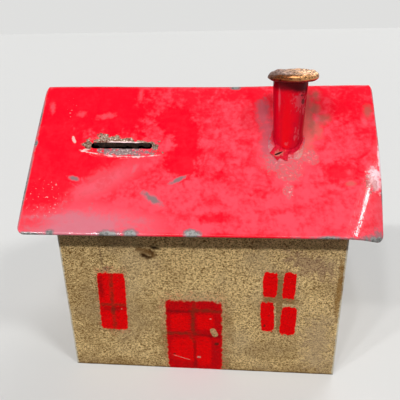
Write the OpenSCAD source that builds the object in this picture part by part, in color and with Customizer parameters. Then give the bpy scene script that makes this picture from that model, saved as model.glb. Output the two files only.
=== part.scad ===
// House-shaped tin money box: four soldered wall sheets, a recessed base with a
// swing-aside coin door, and a folded roof that carries the coin slot and a chimney.
// +X runs along the front from left to right, the front faces -Y, and +Z is up.
// The origin lies on the surface that the box stands on, under the middle of the walls.

/* [Walls] */
// Width of the front and back walls
wall_w = 164; // [140:1:190]
// Depth of the house over its front and back walls
wall_d = 120; // [100:1:150]
// Height of the front and back walls at their outer face
wall_h = 111.5; // [90:0.5:140]
// Thickness of the tin sheet that every sheet part is cut from
sheet = 0.6; // [0.4:0.05:0.8]
// Width of the turned-in flanges that join the walls and carry the roof
flange_w = 8; // [5:0.5:12]
// Leg of the solder fillets along the seams
solder_leg = 1.2; // [0.6:0.1:2]

/* [Roof] */
// Pitch of both roof slopes, in degrees
pitch = 43.25; // [36:0.25:48]
// How far the roof runs out past each gable
gable_out = 18.8; // [12:0.1:26]
// How far the roof runs out past the front and back walls, in plan
eave_out = 11.7; // [8:0.1:20]
// Width of the hem that is folded under along the roof's edges
hem_w = 7; // [4:0.5:7.5]
// Space left inside the folded hem
hem_gap = 0.5; // [0.2:0.1:0.8]
// Gap between the hems where they meet at the roof's corners
hem_notch = 0.5; // [0.3:0.1:2]
// Length snipped off each corner of the roof
corner_cut = 3; // [2:0.5:4]
// Inner radius of the fold along the ridge, under the hem
ridge_r = 0.5; // [0.3:0.1:2]

/* [Coin slot] */
// Length of the coin slot
slot_l = 36.5; // [30:0.5:44]
// Width of the coin slot, measured down the slope
slot_w = 5.3; // [5:0.1:7]
// Place of the slot's middle along the house
slot_x = -47.5; // [-56:0.5:-36]
// Distance from the ridge down the slope to the slot's upper edge
slot_down = 38.3; // [28:0.1:56]
// Width of the upper lip that is pressed in
lip_w = 4; // [2:0.5:7]
// Depth to which the upper lip is pressed in
lip_press = 1.2; // [1.2:0.1:2]
// Gap between each end of the lip and the roof
lip_side_gap = 0.3; // [0.1:0.1:0.6]

/* [Chimney] */
// Place of the chimney along the house
chimney_x = 49.3; // [30:0.1:60]
// How far the chimney stands in front of the ridge, in plan
chimney_front = 26; // [22:0.5:40]
// Radius of the tube where it meets the roof
tube_foot_r = 8.4; // [6:0.1:10]
// Radius of the tube under its cap
tube_top_r = 9.7; // [7:0.1:12]
// Height of the tube's top above the ridge
chimney_rise = 6.9; // [4:0.1:30]
// Width of the lap of the tube's upright seam
seam_w = 3; // [2:0.5:5]
// Length of the foot tabs past the tube
tab_l = 3; // [2:0.25:5]
// Number of foot tabs
tab_count = 8; // [5:1:10]
// Width of the snips between the foot tabs
tab_snip = 2; // [1:0.25:3]
// How far the chimney solder runs out past the tabs
solder_run = 2.5; // [1:0.25:5]
// Thickness of the chimney solder
solder_t = 0.4; // [0.2:0.05:0.6]
// How far the cap runs out past the tube's top
cap_out = 4.6; // [3:0.1:8]
// How far the cap's disc sits off the tube's middle, along the house
cap_shift = 1.1; // [0:0.1:1.5]
// Thickness of the cap
cap_t = 5; // [2:0.1:6]
// Depth of the cap's spigot inside the tube
spigot_h = 4; // [2:0.5:8]
// Radial clearance between the spigot and the tube
spigot_play = 0.05; // [0.02:0.01:0.1]

/* [Base] */
// Height of the recessed base plate above the standing surface
base_z = 7; // [6.5:0.5:14]
// Gap between the base's turned-down flanges and the standing surface
base_flange_gap = 1; // [0.5:0.25:2]
// Length of the coin opening in the base
hatch_l = 46; // [36:1:50]
// Width of the coin opening in the base
hatch_w = 32; // [26:1:34]
// Place of the coin opening's middle along the house
hatch_x = -6; // [-16:1:0]
// Corner radius of the coin opening
hatch_r = 3; // [1:0.5:5]

/* [Coin door] */
// How far the coin door laps over the plate round its opening
door_lap = 5; // [3:0.5:6]
// Corner radius of the coin door
door_r = 5; // [3:0.5:8]
// Radius of the ears that hold the rivets
ear_r = 7; // [6:0.5:8]
// How far each rivet stands outside the coin opening's corner, in x and y
rivet_out = 6; // [5.5:0.25:7]
// Gap between the coin door and the base plate
door_gap = 0.2; // [0.15:0.05:0.4]
// Gap between the coin door and the rivets' heads
head_gap = 0.1; // [0.05:0.05:0.3]
// Width of the finger lip at the coin door's end
finger_w = 16; // [10:1:20]
// Depth of the finger lip
finger_h = 3.6; // [2:0.2:4.2]
// Place of the finger lip's middle across the house
finger_y = 5; // [-4:0.5:8]

/* [Rivets] */
// Radius of the pivot rivet's shank
pivot_r = 2; // [1.5:0.1:2.5]
// Radius of the keeper rivet's shank
keeper_r = 1.5; // [1.2:0.1:2]
// Radial clearance of the coin door's pivot hole
pivot_play = 0.06; // [0.02:0.01:0.1]
// Clearance round the keeper in the coin door's notch
notch_play = 0.4; // [0.3:0.05:0.8]
// How far a rivet's head runs out past its shank
head_out = 2; // [1.5:0.1:3]
// Height of a rivet's head
head_h = 1.6; // [1:0.1:2.2]
// How far a washer runs out past the shank
washer_out = 2.5; // [1.5:0.1:3.5]
// Thickness of a washer
washer_t = 0.6; // [0.4:0.1:1]
// Height of a rivet's hammered tail
tail_h = 0.8; // [0.5:0.1:1.5]
// How far a hammered tail runs out past the shank
tail_out = 1.2; // [0.6:0.1:2]

/* [Hidden] */

$fn = 72;
arc_steps = 8;
big = 400;                               // reaches past the whole house
cut = 1;                                 // how far a cut runs out past what it cuts
bite = 0.1;                              // how far shapes of one solid run into each other

half_w = wall_w / 2;
half_d = wall_d / 2;
in_x = half_w - sheet;                   // inner face of the gables
in_y = half_d - sheet;                   // inner face of the front and back walls
slant = sheet / cos(pitch);              // the sheet's thickness, measured plumb through a slope
ridge_z = wall_h + half_d * tan(pitch) + slant;
roof_l = wall_w + 2 * gable_out;
slope_l = (half_d + eave_out) / cos(pitch);
hem_t = 2 * sheet + hem_gap;
hem_edge = slope_l - hem_t / 2;          // the eave's hem bends round at this distance from the ridge
fold_r = ridge_r + hem_t;                // radius of the ridge's fold at the roof's top
flange_x = half_w - flange_w;            // inner edge of the gables' flanges
seat_gap = 0.5;                          // end gap between flanges that meet in a corner

tube_top_z = ridge_z + chimney_rise;
tube_foot_z = ridge_z - chimney_front * tan(pitch);
tube_taper = (tube_top_r - tube_foot_r) / (tube_top_z - tube_foot_z);
tube_start = (tube_foot_r + tab_l) * tan(pitch) + sheet;   // the tube is drawn from this far below its foot
tab_r = tube_foot_r + tab_l;
cap_r = tube_top_r + cap_out;

base_top = base_z + sheet;
door_top = base_z - door_gap;
door_z = door_top - sheet;
pivot = [hatch_x + hatch_l / 2 + rivet_out, -hatch_w / 2 - rivet_out];
keeper = [hatch_x - hatch_l / 2 - rivet_out, pivot.y];
swing_r = pivot.x - keeper.x;            // the keeper's distance from the pivot
notch_turn = 20;                         // sweep of the notch, past the ear's edge

// Height of the roof's underside above the point y of the plan
function under(y) = ridge_z - slant - abs(y) * tan(pitch);

// Points of an arc about a centre
function arc(c, r, from, to) =
    [for (i = [0 : arc_steps]) let (a = from + (to - from) * i / arc_steps) c + r * [cos(a), sin(a)]];

// Extrudes an outline drawn in the Y-Z plane along X, centred on x
module along_x(len, x = 0) {
    translate([x, 0, 0]) rotate([90, 0, 90]) linear_extrude(len, center = true) children();
}

// Places its children on the front slope: local y points up the slope, z out of the roof
module on_front_slope() {
    translate([0, 0, ridge_z]) rotate([pitch, 0, 0]) children();
}

// Draws its children once on each side of the plane y = 0
module front_and_back() {
    children();
    mirror([0, 1, 0]) children();
}

module left_and_right() {
    children();
    mirror([1, 0, 0]) children();
}

module rounded_rect(size, r) {
    square([size.x - 2 * r, size.y], center = true);
    square([size.x, size.y - 2 * r], center = true);
    for (x = [-1, 1], y = [-1, 1])
        translate([x * (size.x / 2 - r), y * (size.y / 2 - r)]) circle(r);
}

// ---- Walls ----

// Front wall: a panel of full width, and a flange that lies under the roof
module long_wall() {
    along_x(wall_w) polygon([[-half_d, 0], [-in_y, 0], [-in_y, under(in_y)], [-half_d, under(half_d)]]);
    along_x(2 * (flange_x - seat_gap)) polygon([
        [-in_y, under(in_y)], [-in_y, under(in_y) - slant],
        [-in_y + flange_w * cos(pitch), under(in_y - flange_w * cos(pitch)) - slant],
        [-in_y + flange_w * cos(pitch), under(in_y - flange_w * cos(pitch))]]);
}

// The peak is cut off level where the roof's fold begins
module gable_outline() {
    peak = (fold_r - sheet) * sin(pitch);
    polygon([[-in_y, 0], [in_y, 0], [in_y, under(in_y)], [peak, under(peak)], [-peak, under(peak)],
             [-in_y, under(in_y)]]);
}

// Right gable: a flat panel with flanges turned in along its upright and raking edges
module gable() {
    along_x(sheet, half_w - sheet / 2) gable_outline();
    along_x(flange_w, half_w - flange_w / 2) difference() {
        gable_outline();
        polygon([[-in_y + sheet, -cut], [in_y - sheet, -cut], [in_y - sheet, under(in_y - sheet) - slant],
                 [0, under(0) - slant], [-in_y + sheet, under(in_y - sheet) - slant]]);
        // Notch at the peak, between the two raking flanges
        translate([-fold_r, under(2 * fold_r)]) square([2 * fold_r, ridge_z]);
    }
}

module front_wall() { color("tan") long_wall(); }

module back_wall() { color("tan") mirror([0, 1, 0]) long_wall(); }

module right_gable() { color("tan") gable(); }

module left_gable() { color("tan") mirror([1, 0, 0]) gable(); }

// Fillets along the upright flanges' free edges, inside the house
module corner_solder() {
    color("lightgray") left_and_right() front_and_back()
        translate([flange_x, -in_y, base_top + solder_leg])
            linear_extrude(under(in_y) - slant - base_top - 2 * solder_leg)
                polygon([[0, 0], [-solder_leg, 0], [0, sheet]]);
}

// ---- Base ----

// Recessed plate with flanges turned down against the walls
module base_plate() {
    color("silver") difference() {
        union() {
            translate([0, 0, base_z]) linear_extrude(sheet) {
                square([2 * in_x, 2 * (in_y - sheet)], center = true);
                square([2 * (flange_x - seat_gap), 2 * in_y], center = true);
            }
            translate([0, 0, base_flange_gap]) linear_extrude(base_z - base_flange_gap) {
                front_and_back() translate([-flange_x + seat_gap, -in_y])
                    square([2 * (flange_x - seat_gap), sheet]);
                left_and_right() translate([in_x - sheet, -in_y + sheet + seat_gap])
                    square([sheet, 2 * (in_y - sheet - seat_gap)]);
            }
        }
        translate([hatch_x, 0, base_z - cut]) linear_extrude(sheet + 2 * cut)
            rounded_rect([hatch_l, hatch_w], hatch_r);
        rivet_hole(pivot, pivot_r);
        rivet_hole(keeper, keeper_r);
    }
}

module rivet_hole(at, r) {
    translate([at.x, at.y, base_z - cut]) cylinder(h = sheet + 2 * cut, r = r);
}

// Fillets between the base plate's upper face and the walls
module base_solder() {
    fillet = [[0, 0], [solder_leg, 0], [0, solder_leg]];
    color("lightgray") translate([0, 0, base_top]) {
        front_and_back() along_x(2 * (flange_x - seat_gap)) translate([-in_y, 0]) polygon(fillet);
        left_and_right() rotate([0, 0, 90]) along_x(2 * (in_y - sheet - seat_gap))
            translate([-in_x, 0]) polygon(fillet);
    }
}

// ---- Roof ----

// The roof's sections, in the Y-Z plane: u is the distance down the front slope, d the depth under its top
function at_slope(u, d) = [-u * cos(pitch) + d * sin(pitch), ridge_z - u * sin(pitch) - d * cos(pitch)];

function to_back(points) = [for (i = [len(points) - 1 : -1 : 0]) [-points[i].x, points[i].y]];

// The ridge's fold at the depth d, turned from one slope to the other
function fold(d, from, to) = arc([0, ridge_z - fold_r / cos(pitch)], fold_r - d, 90 + from, 90 + to);

// A layer of both slopes between two depths, down to the distance u
function layer(d0, d1, u) = concat(
    [at_slope(u, d1), at_slope(u, d0)], fold(d0, pitch, -pitch),
    to_back([at_slope(u, d1), at_slope(u, d0)]), fold(d1, -pitch, pitch));

// Half turn of the eave's hem, from the roof's face to the layer that is folded under
function hem_turn(r) = [for (i = [0 : arc_steps]) let (a = 180 * i / arc_steps)
    at_slope(hem_edge + r * sin(a), hem_t / 2 - r * cos(a))];

// Front half of the folded sheet's outline: its underside, the hem, and its top
function front_half() = concat(
    hem_turn(hem_gap / 2), [at_slope(slope_l - hem_w, hem_t - sheet), at_slope(slope_l - hem_w, hem_t)],
    [for (i = [arc_steps : -1 : 0]) hem_turn(hem_t / 2)[i]]);

// The two slopes and the eaves' hems, bent from one sheet
module slopes() {
    along_x(roof_l) polygon(concat(
        front_half(), fold(0, pitch, -pitch), to_back(front_half()), fold(sheet, -pitch, pitch)));
}

// Hems along the raking edges: the layer folded under, and the turn at its outer edge
module gable_hems() {
    u = slope_l - hem_w - hem_notch;
    left_and_right() {
        along_x(hem_w, (roof_l - hem_w) / 2) polygon(layer(hem_t - sheet, hem_t, u));
        along_x(sheet, (roof_l - sheet) / 2) polygon(layer(sheet, hem_t, u));
    }
}

// Snips off the two corners of the front slope
module corner_snips() {
    left_and_right() on_front_slope() translate([roof_l / 2, -slope_l, -hem_t - cut])
        linear_extrude(hem_t + 2 * cut) polygon([
            [-corner_cut, 0], [-corner_cut, -cut], [cut, -cut], [cut, corner_cut], [0, corner_cut]]);
}

module slot_window() {
    on_front_slope() translate([slot_x - slot_l / 2, -slot_down - slot_w, -sheet - cut])
        cube([slot_l, slot_w + lip_w, sheet + 2 * cut]);
}

// Upper lip of the slot, pressed in so that coins slide under it
module slot_lip() {
    on_front_slope() translate([slot_x, -slot_down, 0]) rotate([90, 0, 90])
        linear_extrude(slot_l - 2 * lip_side_gap, center = true)
            polygon([[lip_w, 0], [0, -lip_press], [0, -lip_press - sheet], [lip_w, -sheet]]);
}

module roof() {
    color("red") {
        difference() {
            union() {
                slopes();
                gable_hems();
            }
            front_and_back() corner_snips();
            slot_window();
        }
        slot_lip();
    }
}

// Fillets along the free edges of the flanges that the roof lies on
module roof_solder() {
    reach = flange_w * cos(pitch);
    color("lightgray") {
        front_and_back() along_x(2 * (flange_x - seat_gap - solder_leg)) polygon([
            [-in_y + reach, under(in_y - reach)], [-in_y + reach, under(in_y - reach) - slant],
            [-in_y + reach + solder_leg, under(in_y - reach - solder_leg)]]);
        left_and_right() front_and_back() on_front_slope()
            translate([flange_x, -slope_l + eave_out / cos(pitch) + flange_w + 2 * solder_leg, -sheet])
                rotate([-90, 0, 0]) linear_extrude(slope_l - eave_out / cos(pitch) - 2 * flange_w)
                    polygon([[0, 0], [-solder_leg, 0], [0, sheet]]);
    }
}

// ---- Chimney ----

// A cone along the tube, from below the roof to the tube's top
module tube_cone(grow) {
    foot = tube_foot_r - tube_start * tube_taper;
    translate([chimney_x, -chimney_front, tube_foot_z - tube_start])
        cylinder(h = tube_top_z - tube_foot_z + tube_start, r1 = foot + grow, r2 = tube_top_r + grow);
}

// Everything above the front slope, up to a height t
module over_slope(t = big / 2) {
    on_front_slope() translate([-big / 2, -big / 2, 0]) cube([big, big, t]);
}

// Foot tabs, snipped from the tube's end and bent out over the roof
module foot_tabs() {
    intersection() {
        over_slope(sheet);
        translate([chimney_x, -chimney_front, 0]) difference() {
            cylinder(h = ridge_z, r = tab_r);
            for (i = [0 : tab_count - 1]) rotate([0, 0, (i + 0.5) * 360 / tab_count])
                translate([tube_foot_r, -tab_snip / 2, 0]) cube([tab_l + cut, tab_snip, ridge_z]);
        }
    }
}

module chimney_tube() {
    color("firebrick") {
        difference() {
            union() {
                intersection() {
                    over_slope();
                    tube_cone(0);
                }
                foot_tabs();
            }
            tube_cone(-sheet);
        }
        // Lap of the tube's seam, at the back
        intersection() {
            over_slope();
            difference() {
                tube_cone(sheet);
                tube_cone(-sheet / 2);
            }
            translate([chimney_x - seam_w / 2, -chimney_front, 0])
                cube([seam_w, cap_r, tube_top_z]);
        }
    }
}

// Disc with a rounded rim, and a spigot that sits in the tube's mouth
module chimney_cap() {
    spigot_r = tube_top_r - sheet - spigot_h * tube_taper - spigot_play;
    color("darkgoldenrod") translate([chimney_x, -chimney_front, tube_top_z]) {
        translate([cap_shift, 0, 0]) rotate_extrude() {
            square([cap_r - cap_t / 2, cap_t]);
            intersection() {
                translate([cap_r - cap_t / 2, cap_t / 2]) circle(d = cap_t);
                square([cap_r, cap_t]);
            }
        }
        translate([0, 0, -spigot_h]) difference() {
            cylinder(h = spigot_h + bite, r = spigot_r);
            translate([0, 0, -cut]) cylinder(h = spigot_h + cut, r = spigot_r - sheet);
        }
    }
}

// Solder that runs out round and between the foot tabs
module chimney_solder() {
    color("lightgray") difference() {
        intersection() {
            over_slope(solder_t);
            translate([chimney_x, -chimney_front, 0]) cylinder(h = ridge_z, r = tab_r + solder_run);
        }
        foot_tabs();
        tube_cone(sheet);
    }
}

// ---- Coin door ----

// Cover that turns aside about the pivot rivet; its notch hooks round the keeper rivet
module coin_door() {
    color("silver") {
        difference() {
            translate([0, 0, door_z]) linear_extrude(sheet) {
                translate([hatch_x, 0])
                    rounded_rect([hatch_l, hatch_w] + 2 * door_lap * [1, 1], door_r);
                for (at = [pivot, keeper]) translate(at) circle(ear_r);
            }
            translate([0, 0, door_z - cut]) {
                translate(pivot) cylinder(h = sheet + 2 * cut, r = pivot_r + pivot_play);
                translate(keeper) cylinder(h = sheet + 2 * cut, r = keeper_r + notch_play);
                translate(pivot) rotate([0, 0, 180]) rotate_extrude(angle = notch_turn)
                    translate([swing_r - keeper_r - notch_play, 0])
                        square([2 * (keeper_r + notch_play), sheet + 2 * cut]);
            }
        }
        translate([hatch_x - hatch_l / 2 - door_lap, finger_y - finger_w / 2, door_z - finger_h])
            cube([sheet, finger_w, finger_h + sheet]);
    }
}

// ---- Rivets ----

// Domed head under the coin door, shank through the plates, hammered tail above the washer
module rivet(at, r) {
    head_r = r + head_out;
    head_top = door_z - head_gap;
    ball_r = (head_r * head_r + head_h * head_h) / (2 * head_h);
    translate([at.x, at.y, 0]) {
        intersection() {
            translate([0, 0, head_top - head_h + ball_r]) sphere(ball_r);
            translate([0, 0, head_top - head_h]) cylinder(h = head_h, r = head_r + cut);
        }
        translate([0, 0, head_top - bite]) cylinder(h = base_top + washer_t + 2 * bite - head_top, r = r);
        translate([0, 0, base_top + washer_t]) cylinder(h = tail_h, r1 = r + tail_out, r2 = r);
    }
}

module washer(at, r) {
    translate([at.x, at.y, base_top]) difference() {
        cylinder(h = washer_t, r = r + washer_out);
        translate([0, 0, -cut]) cylinder(h = washer_t + 2 * cut, r = r);
    }
}

module pivot_rivet() { color("gainsboro") rivet(pivot, pivot_r); }

module pivot_washer() { color("gainsboro") washer(pivot, pivot_r); }

module keeper_rivet() { color("gainsboro") rivet(keeper, keeper_r); }

module keeper_washer() { color("gainsboro") washer(keeper, keeper_r); }

front_wall();
back_wall();
left_gable();
right_gable();
corner_solder();
base_plate();
base_solder();
roof();
roof_solder();
chimney_tube();
chimney_cap();
chimney_solder();
coin_door();
pivot_rivet();
pivot_washer();
keeper_rivet();
keeper_washer();
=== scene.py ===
import functools
import math

import bpy
from mathutils import Matrix, Vector, noise


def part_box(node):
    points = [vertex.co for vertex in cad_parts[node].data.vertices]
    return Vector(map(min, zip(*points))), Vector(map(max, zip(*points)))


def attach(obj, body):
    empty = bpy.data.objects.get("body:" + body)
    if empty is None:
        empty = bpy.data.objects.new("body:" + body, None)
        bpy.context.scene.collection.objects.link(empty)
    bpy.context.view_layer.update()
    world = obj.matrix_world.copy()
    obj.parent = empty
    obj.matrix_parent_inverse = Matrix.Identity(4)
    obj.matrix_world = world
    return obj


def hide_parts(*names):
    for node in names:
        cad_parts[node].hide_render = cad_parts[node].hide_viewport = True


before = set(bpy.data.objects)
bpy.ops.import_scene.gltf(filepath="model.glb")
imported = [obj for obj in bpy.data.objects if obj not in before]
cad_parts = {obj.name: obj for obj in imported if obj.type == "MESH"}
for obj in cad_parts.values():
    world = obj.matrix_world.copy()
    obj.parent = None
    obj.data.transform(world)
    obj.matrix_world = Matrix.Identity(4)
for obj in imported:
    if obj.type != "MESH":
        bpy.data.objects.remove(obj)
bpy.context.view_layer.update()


# ---- Camera ----
# A hand-held camera in front of the box, a little above its roof and turned slightly to the left.
# It stands in the box's own frame, so the view matches whatever the pieces below look like.
EYE = Vector((0.02183, -0.28497, 0.21475))
YAW = math.radians(-5.291)
DOWN = math.radians(23.189)
ROLL = math.radians(-1.257)
FOCAL_MM = 41.05
SENSOR_MM = 36.0

ahead = Vector((math.sin(YAW) * math.cos(DOWN), math.cos(YAW) * math.cos(DOWN), -math.sin(DOWN)))
level = Vector((math.cos(YAW), -math.sin(YAW), 0.0))
upright = level.cross(ahead)
across = math.cos(ROLL) * level + math.sin(ROLL) * upright
upward = math.cos(ROLL) * upright - math.sin(ROLL) * level

camera = bpy.data.cameras.new("camera")
camera.lens = FOCAL_MM
camera.sensor_width = SENSOR_MM
camera.sensor_fit = "HORIZONTAL"
camera.clip_start = 0.01
camera_object = bpy.data.objects.new("camera", camera)
camera_object.matrix_world = Matrix.Translation(EYE) @ Matrix((across, upward, -ahead)).transposed().to_4x4()
bpy.context.scene.collection.objects.link(camera_object)
bpy.context.scene.camera = camera_object


# ---- Front and back walls ----
# Two upright tin sheets as wide as the house. Each has a flange along its top, bent in to the roof's
# pitch. They are painted khaki with a crinkled stone finish, and the front has a painted door and windows.
MM = 0.001
PITCH = math.radians(43.25)
SHEET = 0.6
BEND_R = 1.0
WALL_STEP = 2.4
FLANGE_W = 8.0
FLANGE_END_GAP = 0.5
# The sheet's waviness, and how far from the foot and from the eaves' bend it builds up
WALL_WAVE = 0.22
WALL_WAVE_SIZE = 38.0
FOOT_FADE = 20.0
BEND_FADE = 12.0
WALL_EDGE_ROUND = 0.12
RIM_WEAR = 0.3
RIM_WEAR_SIZE = 7.0
EDGE_WEAR = 1.2

wall_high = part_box("front_wall")[1] / MM
back_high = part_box("back_wall")[1] / MM
HALF_W = wall_high.x
HALF_D = back_high.y
EAVES_Z = wall_high.z - FLANGE_W * math.sin(PITCH) - SHEET * math.tan(PITCH)


def colour(red, green, blue):
    """A colour that is written as it looks on a screen, turned into the light that it gives back."""
    parts = [part / 255 for part in (red, green, blue)]
    return tuple(p / 12.92 if p <= 0.04045 else ((p + 0.055) / 1.055) ** 2.4 for p in parts) + (1.0,)


class Wire:
    """A number that varies over a surface. Sums and products of wires add their own nodes."""

    def __init__(self, finish, socket):
        self.finish = finish
        self.socket = socket

    def math(self, operation, *others):
        return self.finish.add("ShaderNodeMath", {"operation": operation}, dict(enumerate((self, *others))))

    def __add__(self, other):
        return self.math("ADD", other)

    def __sub__(self, other):
        return self.math("SUBTRACT", other)

    def __rsub__(self, other):
        return self.finish.add("ShaderNodeMath", {"operation": "SUBTRACT"}, {0: other, 1: self})

    def __mul__(self, other):
        return self.math("MULTIPLY", other)

    def __abs__(self):
        return self.math("ABSOLUTE")

    __radd__ = __add__
    __rmul__ = __mul__


def least(wires):
    """The least of several wires."""
    return functools.reduce(lambda low, wire: low.math("MINIMUM", wire), wires)


def most(*wires):
    """The greatest of several wires."""
    return functools.reduce(lambda high, wire: high.math("MAXIMUM", wire), wires)


class Finish:
    """A surface finish: its nodes are added one by one, and reach the shader through paint().

    coat is its colour so far, which is laid on in layers."""

    def __init__(self, name):
        self.material = bpy.data.materials.new(name)
        self.material.use_nodes = True
        self.tree = self.material.node_tree
        self.shader = self.tree.nodes["Principled BSDF"]
        metres = self.add("ShaderNodeTexCoord", out="Object")
        self.place = self.add("ShaderNodeVectorMath", {"operation": "SCALE"}, {0: metres, "Scale": 1 / MM})
        split = (self.add("ShaderNodeSeparateXYZ", {}, {0: self.place}, axis) for axis in "XYZ")
        self.x, self.y, self.z = split

    def add(self, kind, settings=None, inputs=None, out=0):
        node = self.tree.nodes.new(kind)
        for name, value in (settings or {}).items():
            setattr(node, name, value)
        for socket, value in (inputs or {}).items():
            self.plug(node.inputs[socket], value)
        return Wire(self, node.outputs[out])

    def plug(self, socket, value):
        if isinstance(value, Wire):
            self.tree.links.new(value.socket, socket)
        else:
            socket.default_value = value

    def paint(self, **sockets):
        for name, value in sockets.items():
            self.plug(self.shader.inputs[name.replace("_", " ")], value)

    def blend(self, mask, base, over):
        return self.add("ShaderNodeMix", {"data_type": "RGBA"}, {0: mask, 6: base, 7: over}, 2)

    def lay(self, mask, over):
        """Lays one more colour over the coat, as far as the mask says."""
        self.coat = self.blend(mask, self.coat, over)

    def step(self, value, low, high):
        settings = {"interpolation_type": "SMOOTHSTEP"}
        return self.add("ShaderNodeMapRange", settings, {"Value": value, "From Min": low, "From Max": high})

    def noise(self, size, detail=2.0, shift=0.0, stretch=(1.0, 1.0, 1.0), twist=0.0):
        """Soft random patches of about this size, in millimetres."""
        moved = {"Vector": self.place, "Location": [shift] * 3, "Scale": [s / size for s in stretch]}
        at = self.add("ShaderNodeMapping", {}, moved)
        inputs = {"Vector": at, "Scale": 1.0, "Detail": detail, "Distortion": twist}
        return self.add("ShaderNodeTexNoise", {}, inputs)

    def flat(self, across, along):
        """Two wires as a place on a flat sheet."""
        return self.add("ShaderNodeCombineXYZ", {}, {0: across, 1: along})

    def local(self, sheet, centre, half, turn=0.0):
        """A place on a flat sheet seen from a shape's centre, in units of its half sizes."""
        c, s = math.cos(math.radians(turn)), math.sin(math.radians(turn))
        for p, q, size in ((c, s, half[0]), (-s, c, half[1])):
            inputs = {0: sheet, 1: (p / size, q / size, 0.0)}
            turned = self.add("ShaderNodeVectorMath", {"operation": "DOT_PRODUCT"}, inputs, "Value")
            yield turned - (centre[0] * p + centre[1] * q) / size

    def spot(self, sheet, centre, half, turn=0.0):
        """Distance from a round or oval spot's centre: 1 on its rim."""
        across, along = self.local(sheet, centre, half, turn)
        return (across * across + along * along).math("SQRT")

    def pane(self, sheet, centre, half, turn=0.0, square=8.0):
        """Distance from a rounded rectangle's centre: 1 on its rim."""
        sides = self.local(sheet, centre, half, turn)
        across, along = (abs(side).math("POWER", square) for side in sides)
        return (across + along).math("POWER", 1 / square)

    def spots(self, sheet, shapes):
        """Distance from the nearest of several spots."""
        return least(self.spot(sheet, *shape) for shape in shapes)

    def panes(self, sheet, shapes, square=8.0):
        """Distance from the nearest of several rounded rectangles."""
        return least(self.pane(sheet, *shape, square=square) for shape in shapes)

    def bump(self, height, depth):
        """Relief from a height of 0 to 1, which stands for a depth in millimetres."""
        return self.add("ShaderNodeBump", {}, {"Strength": 1.0, "Distance": depth * MM, "Height": height})


def spread(marks, steps):
    """Places from the first mark to the last, each stretch divided into steps of about its own size."""
    places = [marks[0]]
    for start, end, step in zip(marks, marks[1:], steps):
        count = max(1, round((end - start) / step))
        places += [start + (end - start) * (i + 1) / count for i in range(count)]
    return places


def ease(t):
    """0 below 0, 1 above 1, and a smooth rise between."""
    t = min(max(t, 0.0), 1.0)
    return t * t * (3 - 2 * t)


def wave(size, *place):
    """A smooth random value between about -1 and 1 at a place, with hills of about this size."""
    return noise.noise(Vector(place) / size)


def make_piece(name, points, faces, finishes, body, stands_for):
    """A mesh whose points are in millimetres, with only the points that its faces use."""
    used = sorted({i for face in faces for i in face})
    order = {old: new for new, old in enumerate(used)}
    mesh = bpy.data.meshes.new(name)
    corners = [Vector(points[i]) * MM for i in used]
    mesh.from_pydata(corners, [], [[order[i] for i in face] for face in faces])
    mesh.shade_smooth()
    for finish in finishes:
        mesh.materials.append(finish.material)
    piece = bpy.data.objects.new(name, mesh)
    bpy.context.scene.collection.objects.link(piece)
    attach(piece, body)
    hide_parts(*stands_for)
    return piece


def thicken(piece, thickness, inside=0, even=True):
    """Gives a one-layer mesh its sheet's thickness, on the side away from its normals."""
    modifier = piece.modifiers.new("thickness", "SOLIDIFY")
    modifier.thickness = thickness * MM
    modifier.offset = -1.0
    modifier.use_even_offset = even
    modifier.material_offset = inside
    modifier.material_offset_rim = inside


def soften(piece, width, angle=50.0):
    """Rounds off a piece's sharp edges."""
    modifier = piece.modifiers.new("edges", "BEVEL")
    modifier.width = width * MM
    modifier.segments = 2
    modifier.limit_method = "ANGLE"
    modifier.angle_limit = math.radians(angle)
    modifier.harden_normals = True


def grid_faces(rows, columns, flip=False, wrap=False):
    """Quads over rows x columns points, listed row by row."""
    faces = []
    for i in range(rows - 1):
        for j in range(columns if wrap else columns - 1):
            k = (j + 1) % columns
            face = [i * columns + j, i * columns + k, (i + 1) * columns + k, (i + 1) * columns + j]
            faces.append(face[::-1] if flip else face)
    return faces


KHAKI_TOP = colour(255, 220, 156)
KHAKI_LOW = colour(116, 84, 38)
KHAKI_DUST = colour(192, 168, 132)
BROWN_STAIN = colour(120, 84, 38)
BARE_EDGE = colour(222, 214, 192)
STONE_ROUGHNESS = 0.85
STONE_IOR = 1.15
LONG_WALL_RELIEF = 1.4


def stone_finish(name, axis, half):
    """Khaki stone paint, rubbed through to the tin along the sheet's upright edges.

    It is all small crossing wrinkles with paler tops, and a finer grit between them. axis says which way
    the sheet runs, and half is its half width. Gives the finish and the height of its wrinkles."""
    finish = Finish(name)
    wrinkles = finish.noise(1.0, detail=2.0, stretch=(0.85, 0.85, 1.45), twist=1.2)
    grit = finish.noise(0.7, detail=1.0, shift=7.0)
    height = wrinkles * 0.65 + grit * 0.35
    # Its colour follows the wrinkles' height, paler on their tops and darker in the hollows: partly the
    # paint's own, partly painted highlight and shade
    finish.coat = finish.blend(finish.step(height, 0.36, 0.6), KHAKI_LOW, KHAKI_TOP)
    dusty = finish.step(finish.noise(30.0, detail=4.0), 0.42, 0.68)
    finish.lay(dusty * 0.4, KHAKI_DUST)
    browned = finish.step(finish.noise(17.0, detail=5.0, shift=31.0), 0.46, 0.74)
    finish.lay(browned * 0.3, BROWN_STAIN)
    # Damp has stained the paint along the bottom edge
    damp = finish.step(finish.z + finish.noise(7.0, detail=5.0, shift=3.0) * 26.0, 26.0, 8.0)
    finish.lay(damp * 0.55, BROWN_STAIN)
    past_edge = abs({"x": finish.x, "y": finish.y}[axis]) * (1 / EDGE_WEAR) - (half - EDGE_WEAR) / EDGE_WEAR
    rubbed = finish.step(past_edge + (finish.noise(2.2, detail=3.0, shift=5.0) - 0.5) * 1.1, 0.0, 0.5)
    finish.lay(rubbed * 0.9, BARE_EDGE)
    finish.paint(IOR=STONE_IOR)
    return finish, height


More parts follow.
